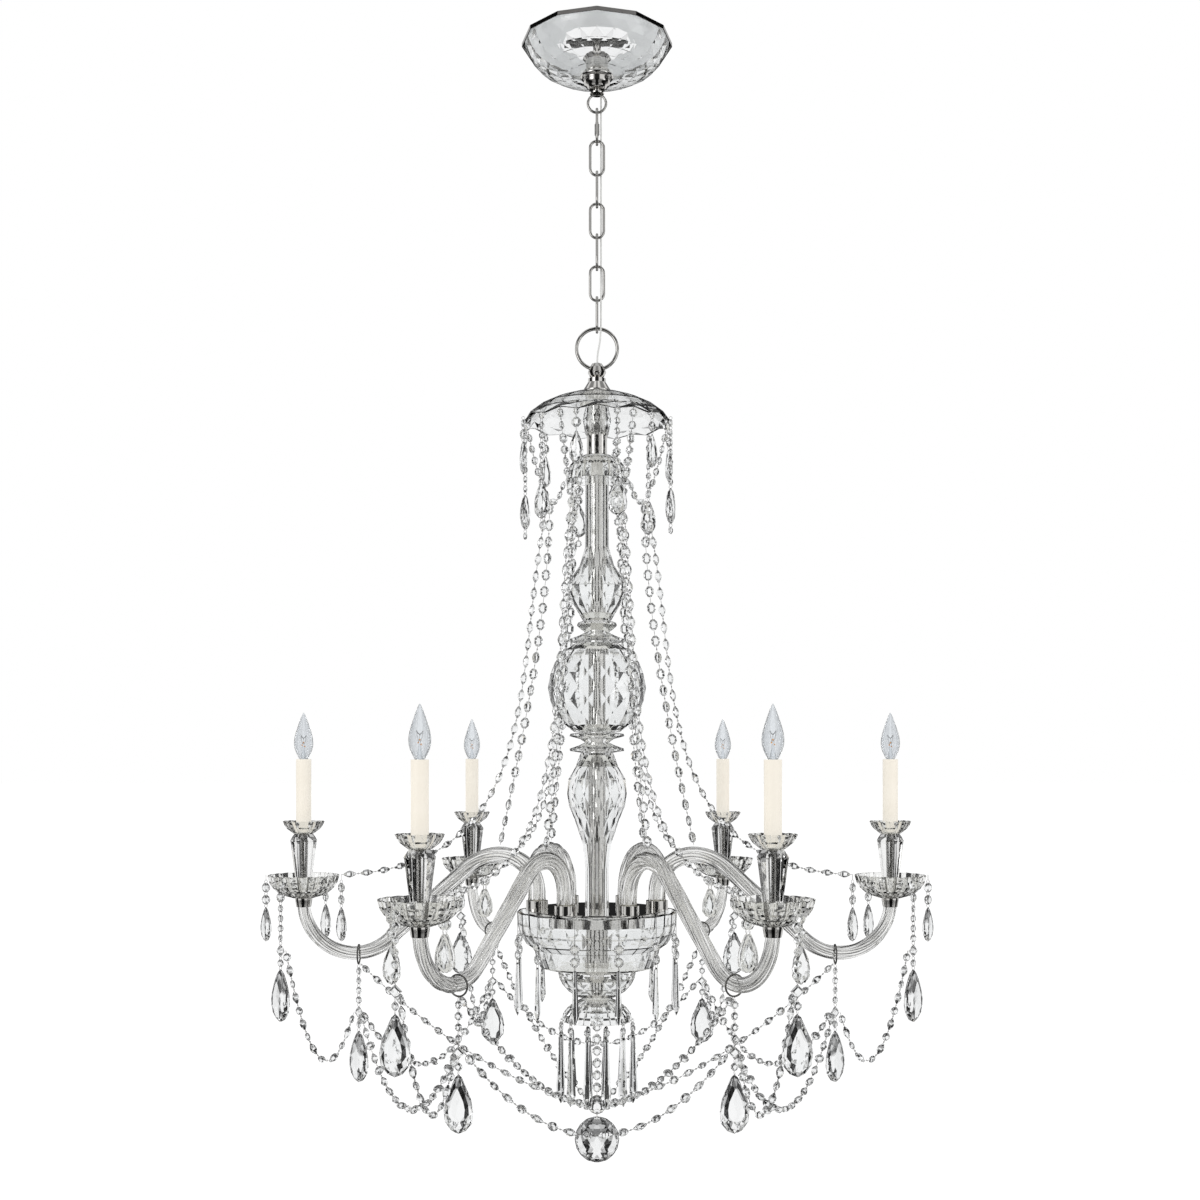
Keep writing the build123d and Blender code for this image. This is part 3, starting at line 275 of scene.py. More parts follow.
def ceiling_plate_painted_reflection():
    """Nickel plate over the glass dish: satin, with a painted reflection in a pale base colour in place of
    the white it would mirror; polished on the turned-down edge, with a painted reflection in a dark base
    colour there.
    """
    edge_starts, edge_ends = CANOPY_R - 6.0, CANOPY_R - 5.0
    material = bpy.data.materials.new("ceiling_plate_painted_reflection")
    tree = new_nodes(material)
    # painted reflection: the pale base colour stands in for the white that the nickel plate would mirror; the
    # roughness is the real satin finish
    satin_painted_pale = surface(tree, 60.0, 0.3, 0.42, (0.84, 0.84, 0.83), (0.92, 0.92, 0.91), 0.02)
    # painted reflection: the dark base colour on the polished rim stands in for a dark reflection; the low
    # roughness is the real polish
    polished_painted_dark = surface(tree, 60.0, 0.04, 0.1, (0.14, 0.135, 0.13), (0.22, 0.215, 0.21), 0.01)
    coord = node(tree, "TexCoord")
    flat = node(tree, "VectorMath", operation="MULTIPLY")
    flat.inputs[1].default_value = (1, 1, 0)
    link(tree, coord.outputs["Object"], flat.inputs[0])
    reach = node(tree, "VectorMath", operation="LENGTH")
    link(tree, flat.outputs[0], reach.inputs[0])
    edge = spread(tree, reach.outputs["Value"], edge_starts * MM, edge_ends * MM)
    colour = colour_mix(tree, edge, satin_painted_pale.outputs["Color"], polished_painted_dark.outputs["Color"])
    gloss = node(tree, "Mix", data_type="FLOAT")
    link(tree, edge, gloss.inputs["Factor"])
    link(tree, satin_painted_pale.outputs["Roughness"], gloss.inputs[2])
    link(tree, polished_painted_dark.outputs["Roughness"], gloss.inputs[3])
    shader = node(tree, "BsdfPrincipled")
    link(tree, colour, shader.inputs["Base Color"])
    link(tree, gloss.outputs[0], shader.inputs["Roughness"])
    link(tree, spread(tree, edge, to_min=0.3), shader.inputs["Metallic"])
    link(tree, satin_painted_pale.outputs["Normal"], shader.inputs["Normal"])
    show(tree, shader)
    return material


nickel = plain("nickel", 1.0, 60.0, 0.03, 0.09, (0.54, 0.53, 0.51), (0.68, 0.67, 0.65), 0.01)
dark_nickel = plain("dark_nickel", 1.0, 60.0, 0.18, 0.34, (0.12, 0.12, 0.115), (0.24, 0.235, 0.225), 0.05)
brass = plain("brass", 1.0, 90.0, 0.18, 0.32, (0.55, 0.38, 0.14), (0.72, 0.52, 0.22), 0.05)
crystal = glass("crystal")
blown = glass("blown_glass", 1.45, (0.96, 0.96, 0.95), (1.0, 1.0, 0.99), 0.02, 0.01, thin=True)
ivory = plain("candle_ivory", 0.0, 30.0, 0.42, 0.6, (0.8, 0.74, 0.64), (0.87, 0.82, 0.73), 0.12)
cord_skin = plain("cord_clear", 0.0, 200.0, 0.15, 0.3, (0.5, 0.5, 0.49), (0.72, 0.72, 0.7), 0.1)
tungsten = plain("tungsten", 1.0, 200.0, 0.3, 0.45, (0.14, 0.13, 0.12), (0.25, 0.23, 0.2), 0.1)
amber = plain("amber", 0.0, 90.0, 0.1, 0.25, (0.62, 0.2, 0.03), (0.85, 0.42, 0.08), 0.05)
pressed = glass("pressed_glass", 1.5, (0.92, 0.925, 0.91), (0.99, 0.99, 0.985), 0.02, 0.02, 30.0)
arm_glass = glass("arm_glass", 1.48, (0.97, 0.97, 0.96), (1.0, 1.0, 0.99), 0.01, 0.01, 18.0, 9.0)
post_glass = glass("post_glass", 1.58, (0.86, 0.86, 0.85), (1.0, 1.0, 1.0), 0.02, 0.02, 12.0)
stones = [crystal, nickel]
by_slot = {"nickel": nickel, "crystal": crystal, "bulb_glass": blown, "candle_ivory": ivory,
           "cord_clear": cord_skin}
# the ceiling plate's material carries a painted reflection, pale on the plate and dark on its rim
finish_and_painted_reflection_of = {"mounting_strap": dark_nickel, "lamp_sockets": dark_nickel,
             "ceiling_plate": ceiling_plate_painted_reflection()}


# ---- shapes
def placed(name, data):
    """A new object of that data in the scene."""
    thing = bpy.data.objects.new(name, data)
    bpy.context.collection.objects.link(thing)
    return thing


def polar(radius, angle, z=0.0):
    turn = radians(angle)
    return Vector((radius * cos(turn), radius * sin(turn), z))


class Shape:
    """Points and faces gathered for one piece, in millimetres."""

    def __init__(self):
        self.points, self.faces, self.slots = [], [], []

    def add(self, points, faces, slot=0):
        start = len(self.points)
        self.points += points
        self.faces += [[start + k for k in face] for face in faces]
        self.slots += [slot] * len(faces)

    def loft(self, rings, leans=None, slot=0, ends=True, loop=False):
        """Join rings of equally many points.

        A ring of lean 1 is turned half a step on from one of lean 0, and triangles join the two.
        """
        count = len(rings[0])
        leans = leans or [0] * len(rings)
        pairs = [(i, i + 1) for i in range(len(rings) - 1)] + ([(len(rings) - 1, 0)] if loop else [])
        faces = []
        for i, j in pairs:
            for k in range(count):
                m = (k + 1) % count
                a, b, c, d = i * count + k, i * count + m, j * count + m, j * count + k
                if leans[i] == leans[j]:
                    faces.append([a, b, c, d])
                elif leans[j] > leans[i]:
                    faces += [[a, b, d], [b, c, d]]
                else:
                    faces += [[a, c, d], [a, b, c]]
        if ends and not loop:
            last = (len(rings) - 1) * count
            faces += [list(range(count)), list(range(last, last + count))]
        self.add([point for ring in rings for point in ring], faces, slot)

    def moved(self, matrix):
        """The same shape somewhere else."""
        other = Shape()
        other.points = [matrix @ point for point in self.points]
        other.faces, other.slots = list(self.faces), list(self.slots)
        return other

    def join(self, other):
        start = len(self.points)
        self.points += other.points
        self.faces += [[start + k for k in face] for face in other.faces]
        self.slots += other.slots


def at_each_lamp(shape):
    """Six copies of a shape that is drawn on the fixture's axis."""
    whole = Shape()
    for angle in arm_angles:
        whole.join(shape.moved(Matrix.Translation(polar(ARM_REACH, angle))))
    return whole


def piece(name, shape, nodes=(), materials=(crystal,), body="fixture", smooth=None):
    """One visual piece that replaces those CAD nodes; smooth is the angle up to which edges look round."""
    mesh = bpy.data.meshes.new(name)
    mesh.from_pydata([point * MM for point in shape.points], [], shape.faces)
    for material in materials:
        mesh.materials.append(material)
    mesh.polygons.foreach_set("material_index", shape.slots)
    work = bmesh.new()
    work.from_mesh(mesh)
    bmesh.ops.remove_doubles(work, verts=work.verts, dist=2e-6)
    bmesh.ops.recalc_face_normals(work, faces=work.faces)
    work.to_mesh(mesh)
    work.free()
    if smooth:
        mesh.polygons.foreach_set("use_smooth", [True] * len(mesh.polygons))
        mesh.set_sharp_from_angle(angle=radians(smooth))
    mesh.update()
    thing = placed(name, mesh)
    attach(thing, body)
    if nodes:
        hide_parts(*nodes)


def circle(radius, z, sides, lean=0.0):
    return [polar(radius, 360 * (k + lean / 2) / sides, z) for k in range(sides)]


def from_level(level, profile, height=1.0):
    """A (radius, rise) profile at a level.

    The rises are shares of a height where one is given, and drops where it is below 0.
    """
    return [(radius, level + height * rise) for radius, rise in profile]


def lathe(shape, profile, sides=48, slot=0):
    """A closed (radius, z) outline turned round the axis."""
    shape.loft([circle(radius, z, sides) for radius, z in profile], slot=slot, loop=True)


def distances(points):
    """How far along a line of points each one lies."""
    runs = [0.0]
    for a, b in zip(points, points[1:]):
        runs.append(runs[-1] + (b - a).length)
    return runs


def rod(shape, points, radius, sides=8, closed=False, slot=0):
    """A round bar along points."""
    count = len(points)
    rings = []
    normal = None
    for k in range(count):
        before = points[(k - 1) % count] if closed or k else points[0]
        after = points[(k + 1) % count] if closed or k < count - 1 else points[-1]
        along = (after - before).normalized()
        if normal is None:
            normal = along.orthogonal().normalized()
        normal = (normal - along * normal.dot(along)).normalized()
        across = along.cross(normal)
        turns = [TAU * i / sides for i in range(sides)]
        rings.append([points[k] + (normal * cos(turn) + across * sin(turn)) * radius
                      for turn in turns])
    shape.loft(rings, slot=slot, loop=closed)


def round_path(centre, radius, first, second, count=48):
    """Points of a circle in the plane of two directions."""
    return [centre + (first * cos(TAU * k / count) + second * sin(TAU * k / count)) * radius
            for k in range(count)]


def cut_band(shape, outer, inner, sides, leans=None, scallop=None, ribs=0.0):
    """Cut glass with a hollow inside: outer profile down, inner profile back up, both (radius, z)."""
    rings = []
    outer_leans = leans or [0] * len(outer)
    flags = outer_leans + [outer_leans[-1]] * len(inner)
    for index, (radius, z) in enumerate(outer + inner[::-1]):
        ring = circle(radius, z, sides, flags[index])
        if ribs and index < len(outer):
            shares = [1 - ribs * (k % 2) for k in range(sides)]
            ring = [Vector((p.x * share, p.y * share, p.z)) for p, share in zip(ring, shares)]
        if scallop and index in scallop:
            ring = [p - Z * scallop[index] * (k % 2) for k, p in enumerate(ring)]
        rings.append(ring)
    shape.loft(rings, flags, loop=True)


# ---- hanging stones
def flat_stone(shape, at, across, through, down, outline, thick, table=0.58, star=True):
    """A flat cut stone with a girdle, slanting facets and a raised table on both faces.

    The outline is its (side, drop) corners.
    """
    middle = sum(drop for _, drop in outline) / len(outline)
    count = len(outline)

    def level(share, depth, half=False):
        ring = []
        for k, (side, drop) in enumerate(outline):
            if half:
                side = (side + outline[(k + 1) % count][0]) / 2
                drop = (drop + outline[(k + 1) % count][1]) / 2
            ring.append(at + across * (side * share) + down * (middle + (drop - middle) * share)
                        + through * depth)
        return ring

    rings = [level(1, 0.16 * thick), level(0.86, 0.62 * thick, True), level(table, 0.92 * thick)]
    for face in (1, -1):
        sided = [[p + through * ((face - 1) * (p - at).dot(through)) for p in ring] for ring in rings]
        shape.loft(sided, [0, 1, 0], ends=False)
        if star:
            tip = at + down * middle + through * (face * thick)
            shape.add(sided[-1] + [tip], [[k, (k + 1) % count, count] for k in range(count)])
        else:
            shape.add(sided[-1], [list(range(count))])
    shape.loft([level(1, 0.16 * thick), level(1, -0.16 * thick)], ends=False)


def almond_outline(half, length, count):
    """Pointed above, round below."""
    corners = []
    for k in range(count):
        turn = TAU * k / count
        drop = (1 - cos(turn)) / 2
        side = sin(turn) * (0.42 + 0.62 * drop) * (1.08 if 0.3 < drop < 0.95 else 0.92)
        corners.append((side * half, drop * length))
    reach = max(side for side, _ in corners)
    return [(side * half / reach, drop) for side, drop in corners]


def round_outline(half, length):
    """Eight straight sides."""
    corner = cos(pi / 8)
    turns = [TAU * (k + 0.5) / 8 for k in range(8)]
    return [(sin(turn) * half / corner, (1 - cos(turn) / corner) / 2 * length) for turn in turns]


def diamond_outline(half, length):
    return [(0, 0), (half * 0.5, length * 0.25), (half, length * 0.5), (half * 0.5, length * 0.75),
            (0, length), (-half * 0.5, length * 0.75), (-half, length * 0.5), (-half * 0.5, length * 0.25)]


def jump_ring(shape, at, across, down, radius=1.9):
    """Small wire ring that joins a stone to the next."""
    rod(shape, round_path(at, radius, across, down, 8), 0.34, 4, True, slot=1)


def prism(shape, at, across, through, down, half, length):
    """Long three-edged drop with cut edges, broad low down and pointed at the foot."""
    flat, chopped_edge = 0.9, 0.66
    stations = [(0.3, 0.0), (0.52, 0.035), (0.62, 0.3), (0.97, 0.78), (1.0, 0.84), (0.55, 0.93), (0.06, 1.0)]
    rings = []
    for share, drop in stations:
        ring = []
        for k in range(6):
            reach = half * share * (1.0 if k % 2 else chopped_edge)
            turn = TAU * (k + 0.5) / 6
            ring.append(at + across * (reach * cos(turn)) + down * (length * drop)
                        + through * (reach * flat * sin(turn)))
        rings.append(ring)
    shape.loft(rings)


def stone(shape, kind, at, across, through, down):
    """One hanging stone of that kind with its top at a point."""
    half, length = kind
    if kind in (BOWL_PRISM, BELL_PRISM):
        prism(shape, at, across, through, down, half, length)
    elif kind in (SMALL_ALMOND, PAN_ALMOND, CROWN_ALMOND, LARGE_ALMOND):
        flat_stone(shape, at, across, through, down, almond_outline(half, length, 14), half * 0.43)
    elif kind == LOZENGE:
        flat_stone(shape, at, across, through, down, diamond_outline(half, length), 4.2, 0.62, False)
    else:
        flat_stone(shape, at, across, through, down, round_outline(half, length), half * 0.62, 0.5, False)


def hang(shape, kinds, at, facing, start=0.0):
    """Stones hung under each other, each turned a little at random.

    Facing is the compass direction that their flat faces look in.
    """
    across, through, down = polar(1, facing + 90), polar(1, facing), -Z
    level = start
    if start:
        rod(shape, [at, at - Z * start], 0.4, 5, slot=1)
    for kind in kinds:
        jump_ring(shape, at - Z * (level + PIN_GAP / 2), through, down, PIN_GAP / 2 + 0.2)
        level += PIN_GAP
        most = 22 if kind in (BEAD, OCTAGON) else 2
        swung = Matrix.Rotation(radians(random.uniform(-most, most)), 3, "Z")
        stone(shape, kind, at - Z * level, swung @ across, swung @ through, down)
        level += kind[1]


def long_bead(shape, centre, along, across, through, half, length):
    """Elongated bead along a string."""
    rings = []
    for share, place in ((0.25, -0.5), (0.85, -0.2), (1.0, 0.0), (0.85, 0.2), (0.25, 0.5)):
        rings.append([centre + along * (length * place) + (across * cos(TAU * k / 6)
                      + through * sin(TAU * k / 6)) * (half * share) for k in range(6)])
    shape.loft(rings)


def bead_run(shape, curve, pitch, round_bead=None, long_bead_size=None):
    """Beads pinned along a curve of points; with both sizes given, long and round ones take turns."""
    lengths = distances(curve)
    count = max(2, round(lengths[-1] / pitch))
    step = lengths[-1] / count

    def place(run):
        for k in range(len(curve) - 1):
            if run <= lengths[k + 1] or k == len(curve) - 2:
                share = (run - lengths[k]) / max(lengths[k + 1] - lengths[k], 1e-6)
                return curve[k].lerp(curve[k + 1], share), (curve[k + 1] - curve[k]).normalized()

    last_end = 0.0
    for n in range(count):
        middle = (n + 0.5) * step
        centre, along = place(middle)
        sideways = (along.cross(Z) if abs(along.z) < 0.98 else along.cross(-Y)).normalized()
        roll = Matrix.Rotation(radians(random.uniform(-50, 50)), 3, along)
        across = roll @ sideways
        through = along.cross(across)
        is_long = long_bead_size and (round_bead is None or n % 2)
        half, length = long_bead_size if is_long else round_bead
        if is_long:
            long_bead(shape, centre, along, across, through, half, length)
        else:
            flat_stone(shape, centre - along * (length / 2), across, through, along,
                       round_outline(half, length), half * 0.62, 0.5, False)
        start = middle - length / 2
        pin_ends = [place(last_end)[0], place(start)[0]]
        rod(shape, [pin_ends[0], pin_ends[1] + along * 0.6], PIN_WIRE, 4, slot=1)
        jump_ring(shape, (pin_ends[0] + pin_ends[1]) / 2, along, through, 1.3)
        last_end = middle + length / 2
    rod(shape, [place(last_end - 0.6)[0], curve[-1]], PIN_WIRE, 4, slot=1)


def bezier(points):
    """Points of a curve with three or four control points."""
    curve, count = [], 40
    for k in range(count + 1):
        level = list(points)
        while len(level) > 1:
            level = [a.lerp(b, k / count) for a, b in zip(level, level[1:])]
        curve.append(level[0])
    return curve


def swag(start, end, sag):
    return bezier([start, (start + end) * 0.5 - Z * 2 * sag, end])


def pin_reach(radius, angle):
    """How far out a pin hangs that touches the edge of a twelve-sided rim."""
    half_step = 180 / 12
    from_flat = angle % (2 * half_step) - half_step
    return radius * cos(radians(half_step)) / cos(radians(from_flat)) + WIRE + FIT


def half_way_to_view(angle):
    """Stones face half way between their arm's direction and the nearer of the front and the back."""
    front = 90 if 0 < angle < 180 else 270
    return angle + ((front - angle + 180) % 360 - 180) / 2


def pan_string_angle(angle):
    """Where the long string hangs on a pan's rim: outwards and to the nearer of the front and the back."""
    towards = 0.9 if 0 < angle < 180 else -0.9
    sideways = 0.43 if cos(radians(angle)) > 0 else -0.43
    return degrees(atan2(towards, sideways))


def pan_pin(angle, side):
    return polar(ARM_REACH, angle, PAN_RIM) + polar(pin_reach(PAN_R, side), side)


def hanging_stones():
    crown, bowl, pans, bell = Shape(), Shape(), Shape(), Shape()
    for k in range(RIM_STONES):
        angle = 360 / RIM_STONES * (k + 0.5)
        kinds = LONG_CROWN if k % 2 else SHORT_CROWN
        hang(crown, kinds, polar(CROWN_R + WIRE + FIT, angle, CROWN_RIM), angle)
        at = polar(pin_reach(BOWL_R, angle), angle, BOWL_RIM)
        hang(bowl, (OCTAGON, OCTAGON, BOWL_PRISM), at, angle, BOWL_PIN)
        hang(bell, (BEAD, BELL_PRISM), polar(pin_reach(BELL_R, angle), angle, BELL_RIM), angle)
    for angle in arm_angles:
        facing = half_way_to_view(angle)
        for side in (angle, angle + 180, pan_string_angle(angle) + 180):
            hang(pans, (OCTAGON, OCTAGON, PAN_ALMOND), pan_pin(angle, side), facing, PAN_PIN)
        hang(pans, (*PAN_STRING, LARGE_ALMOND), pan_pin(angle, pan_string_angle(angle)), facing)
    piece("crown_stones", crown, ["rim_drops"], stones)
    piece("bowl_stones", bowl, [], stones)
    piece("pan_stones", pans, [], stones)
    piece("bell_prisms", bell, ["prism_ring"], stones)


def pendants():
    for number, angle in enumerate(arm_angles, 1):
        drop = Shape()
        hang(drop, (LARGE_ALMOND,), polar(HOOK_AT, angle, PENDANT_Z), half_way_to_view(angle))
        piece(f"pendant_stone_{number}", drop, [f"pendant_{number}"], stones, f"drop_{number}")


def faceted_ball(shape, radius, centre, sides, bands):
    """A ball of triangular facets with a small flat at each pole."""
    rings, leans = [], []
    for k in range(bands):
        latitude = radians(90 - 180 * (k + 0.5) / bands)
        lean = k % 2
        ring = circle(radius * cos(latitude), centre.z + radius * sin(latitude), sides, lean)
        rings.append([p + Vector((centre.x, centre.y, 0)) for p in ring])
        leans.append(lean)
    shape.loft(rings, leans)


def strings():
    """Bead strings on the routes of the CAD strings."""
    upper, lower, centre = Shape(), Shape(), Shape()
    for angle in arm_angles:
        junction = polar(JUNCTION_R, angle, JUNCTION_Z)
        apart, down = polar(APART, angle), Z * APART
        rim = polar(CROWN_R - 5.0 - WIRE, angle, CROWN_RIM)
        inner = polar(RECEIVER_R + WIRE + FIT, angle, RECEIVER_RIM)
        start, end = junction + apart - down, polar(ARM_REACH - PAN_R - WIRE - FIT, angle, PAN_RIM)
        to_pan = bezier([start, start + polar(61, angle, -271), end + polar(-347, angle, 11), end])
        bead_run(upper, to_pan, TO_PAN_PITCH, None, LONG_BEAD)
        start, end = junction - apart - down, polar(ARM_ROOT + ARCH_INNER, angle, ARCH_TOP + ARM_THICK + WIRE)
        to_arm = bezier([start, start + polar(2, angle, -186), end + polar(-42, angle, 198), end])
        bead_run(upper, to_arm, TO_ARM_PITCH, OVAL_BEAD)
        for top, foot in ((rim, junction + apart + down), (inner, junction - apart + down)):
            bead_run(upper, swag(top, foot, CROWN_SAG), CROWN_PITCH, ROUND_BEAD)
        facing = half_way_to_view(angle)
        lozenge = polar(HOOK_AT, angle, ARM_LOZENGE_Z)
        following = polar(HOOK_AT, angle + 360 / ARM_COUNT, ARM_LOZENGE_Z)
        pan_lozenge = pan_pin(angle, pan_string_angle(angle))
        pan_lozenge.z -= sum(PIN_GAP + kind[1] for kind in PAN_STRING[:-1]) - LOZENGE[1] / 2

        def beside(point, other):
            way = (other - point) * Vector((1, 1, 0))
            return point + way.normalized() * BESIDE_LOZENGE

        between_arms = swag(beside(lozenge, following), beside(following, lozenge), BETWEEN_ARMS_SAG)
        bead_run(lower, between_arms, LOWER_PITCH, LARGE_BEAD, LONG_BEAD)
        under_pan = swag(beside(pan_lozenge, lozenge), beside(lozenge, pan_lozenge), UNDER_PAN_SAG)
        bead_run(lower, under_pan, UNDER_PAN_PITCH, ROUND_BEAD, LONG_BEAD)
        ring_side = polar(HOOK_AT - HOOK_WIRE - WIRE - FIT, angle, HOOK_Z - HOOK_R)
        to_centre = swag(ring_side, polar(SMALL_BALL_R + WIRE + FIT, angle, SMALL_BALL_Z), CENTRE_SAG)
        bead_run(lower, to_centre, LOWER_PITCH, LARGE_BEAD, LONG_BEAD)
        hang(lower, ARM_STRING, polar(HOOK_AT, angle, ARM_STRING_Z), facing)
    hang(centre, (OCTAGON,) * 7, Z * CAP_FOOT, 270)
    rod(centre, [Z * (CAP_FOOT - 140), Z * (SMALL_BALL_Z + SMALL_BALL_R - 1)], 0.45, 5, slot=1)
    faceted_ball(centre, SMALL_BALL_R, Z * SMALL_BALL_Z, 10, 7)
    piece("upper_strings", upper, ["bead_strings"], stones)
    piece("lower_strings", lower, [], stones)
    piece("centre_string", centre, [], stones)
    last = Shape()
    rod(last, [Z * FINIAL_PIVOT, Z * (FINIAL_PIVOT - FINIAL_PIN - 1)], WIRE, 8, slot=1)
    faceted_ball(last, FINIAL_R, Z * (FINIAL_PIVOT - FINIAL_PIN - FINIAL_R), 14, 9)
    piece("finial_stone", last, ["finial_ball"], stones, "finial")


# ---- arms
def arm_line():
    """Points of the arm's middle line in its own plane as (reach, height)."""
    line, step = [], 5.0
    slope = radians(ARM_SLOPE)
    rise_top = PLATE_Z + ARM_RISE

    def arc(centre, radius, start, end):
        count = max(2, round(abs(end - start) * radius / step))
        for k in range(count):
            turn = start + (end - start) * k / count
            line.append((centre[0] + radius * cos(turn), centre[1] + radius * sin(turn)))

    for k in range(5):
        line.append((ARM_ROOT, PLATE_Z + ARM_RISE * k / 5))
    arc((ARM_ROOT + ARCH_INNER, rise_top), ARCH_INNER, pi, pi / 2)
    arc((ARM_ROOT + ARCH_INNER, ARCH_TOP - ARCH_OUTER), ARCH_OUTER, pi / 2, pi / 2 - slope)
    start, end = Vector(SLOPE_START), Vector(SLOPE_END)
    count = round((end - start).length / step)
    line += [tuple(start.lerp(end, k / count)) for k in range(count)]
    arc((ARM_REACH - ARM_LOW, ARM_LOW_CENTRE_Z), ARM_LOW, -pi / 2 - slope, 0)
    line += [(ARM_REACH, ARM_LOW_CENTRE_Z), (ARM_REACH, ARM_TIP)]
    return line


def glass_arm(number, angle):
    """Twisted rope of glass, thick at the hub, round a clear bore."""
    line = [polar(reach, angle, z) for reach, z in arm_line()]
    side = polar(1, angle + 90)
    runs = distances(line)
    shape = Shape()
    around = 20  # ten ribs with a groove beside each
    rib, groove, bore_share, full_twist = 0.99, 0.85, 0.34, 620
    outer, bore = [], []
    for k, point in enumerate(line):
        along = (line[min(k + 1, len(line) - 1)] - line[max(k - 1, 0)]).normalized()
        up = along.cross(side)
        share = runs[k] / runs[-1]
        size = ARM_THICK + (ARM_THIN - ARM_THICK) * share
        twist = TAU * runs[k] / full_twist
        ring, inner = [], []
        for i in range(around):
            turn = TAU * i / around
            way = side * cos(turn + twist) + up * sin(turn + twist)
            ring.append(point + way * (size * (rib if i % 2 else groove)))
            inner.append(point + way * (size * bore_share))
        outer.append(ring)
        bore.append(inner)
    shape.loft(outer + bore[::-1], loop=True)
    piece(f"twisted_arm_{number}", shape, [f"glass_arm_{number}"], [arm_glass], smooth=38)


# ---- column of cut glass
def shell(outer, wall):
    """The inner profile of a hollow piece, from its outer one."""
    top, bottom = outer[0][1], outer[-1][1]
    inner = [(max(radius - wall, BORE), z) for radius, z in outer if bottom + wall < z < top - wall]
    return [(BORE, top), (BORE, top - wall)] + inner + [(BORE, bottom + wall), (BORE, bottom)]


def cut_column(name, node_name, outer, wall, sides, leans):
    """A cut piece threaded on the tube.

    Its corners reach a little past the flats of the CAD's twelve sides.
    """
    shape = Shape()
    scale = cos(pi / 12) * 1.02
    outer = [(radius * scale, z) for radius, z in outer]
    bore = shell(outer, wall) if wall else [(BORE, outer[0][1]), (BORE, outer[-1][1])]
    cut_band(shape, outer, bore, sides, leans)
    piece(name, shape, [node_name])


def column():
    neck, belly = URN_NECK_R, URN_BELLY_R
    upper = [(neck, 0), (neck, 0.28), (neck * 1.02, 0.55), (neck * 1.5, 0.66), (belly * 0.82, 0.73),
             (belly, 0.79), (belly * 0.94, 0.85), (neck * 1.95, 0.91), (neck * 1.6, 0.95), (neck * 1.2, 1)]
    cut_column("upper_urn_cut", "upper_urn", from_level(UPPER_URN_Z, upper, -UPPER_URN_H), 6.0, 14,
               [0, 0, 0, 1, 0, 1, 0, 1, 0, 0])
    lower = [(neck * 1.4, 0), (belly * 0.72, 0.09), (belly * 0.94, 0.17), (belly, 0.26), (belly * 0.92, 0.34),
             (belly * 0.76, 0.42), (neck * 1.6, 0.5), (neck * 1.25, 0.58), (neck, 0.74), (neck * 1.05, 1)]
    cut_column("lower_urn_cut", "lower_urn", from_level(LOWER_URN_Z, lower, -LOWER_URN_H), 6.0, 14,
               [0, 1, 0, 1, 0, 1, 0, 1, 1, 1])
    turns = [asin(BALL_HALF / BALL_R) * (1 - 2 * k / 8) for k in range(9)]
    ball = [(BALL_R * cos(turn), BALL_Z - BALL_HALF + BALL_R * sin(turn)) for turn in turns]
    cut_column("centre_ball_cut", "centre_ball", ball, 7.0, 16, [k % 2 for k in range(9)])
    crown_ball = [(17.5, 0), (neck, 0.1), (neck, 0.34), (23.0, 0.5), (23.5, 0.62), (23.0, 0.74), (neck, 0.96),
                  (17.5, 1)]
    cut_column("crown_ball_cut", "crown_ball", from_level(CROWN_BALL_Z, crown_ball, -CROWN_BALL_H), 0, 12,
               [0, 0, 0, 1, 0, 1, 0, 0])
    for name, top, height, upper_r in (("upper_saucer", UPPER_SAUCER_Z, 38, 34.0),
                                       ("lower_saucer", LOWER_SAUCER_Z, 35, 47.0)):
        bends = [(23, 0), (upper_r * 0.97, 0.1), (upper_r, 0.2), (28, 0.34), (20, 0.5), (30, 0.64), (47, 0.8),
                 (46, 0.9), (23, 1)]
        cut_column(name + "_cut", name, from_level(top, bends, -height), 0, 14, [0, 1, 1, 0, 0, 0, 1, 1, 0])
    last = radians(72)
    turns = [last * k / 5 for k in range(6)]
    half = [(HALF_BALL_R * cos(turn), BOWL_FOOT - HALF_BALL_H * sin(turn) / sin(last))
            for turn in turns]
    cut_column("half_ball_cut", "half_ball", half, 7.0, 16, [k % 2 for k in range(6)])


# ---- pressed and cut dishes
def dish(name, node_name, outer, thick, sides, scallop, ribs=0.0, leans=None, lamps=False):
    """A dish from its foot to its rim, cut outside and smooth inside, scalloped at the rim.

    The dishes at the lamps are of pressed glass.
    """
    shape = Shape()
    bore = LAMP_BORE if lamps else BORE
    up = 1 if outer[-1][1] > outer[0][1] else -1
    inner = [(max(radius - thick * 0.8, bore + 0.1), z + up * thick) for radius, z in outer[:-1]]
    last_r, last_z = outer[-1]
    inner.append((last_r - thick, last_z))
    outer = [(bore, outer[0][1])] + outer
    inner = [(bore, outer[0][1] + up * thick)] + inner
    leans = [0] + (leans or [0] * (len(outer) - 1))
    drops = {len(outer) - 1: -up * scallop, len(outer): -up * scallop}
    cut_band(shape, outer, inner, sides, leans, drops, ribs)
    piece(name, at_each_lamp(shape) if lamps else shape, [node_name], [pressed if lamps else crystal])


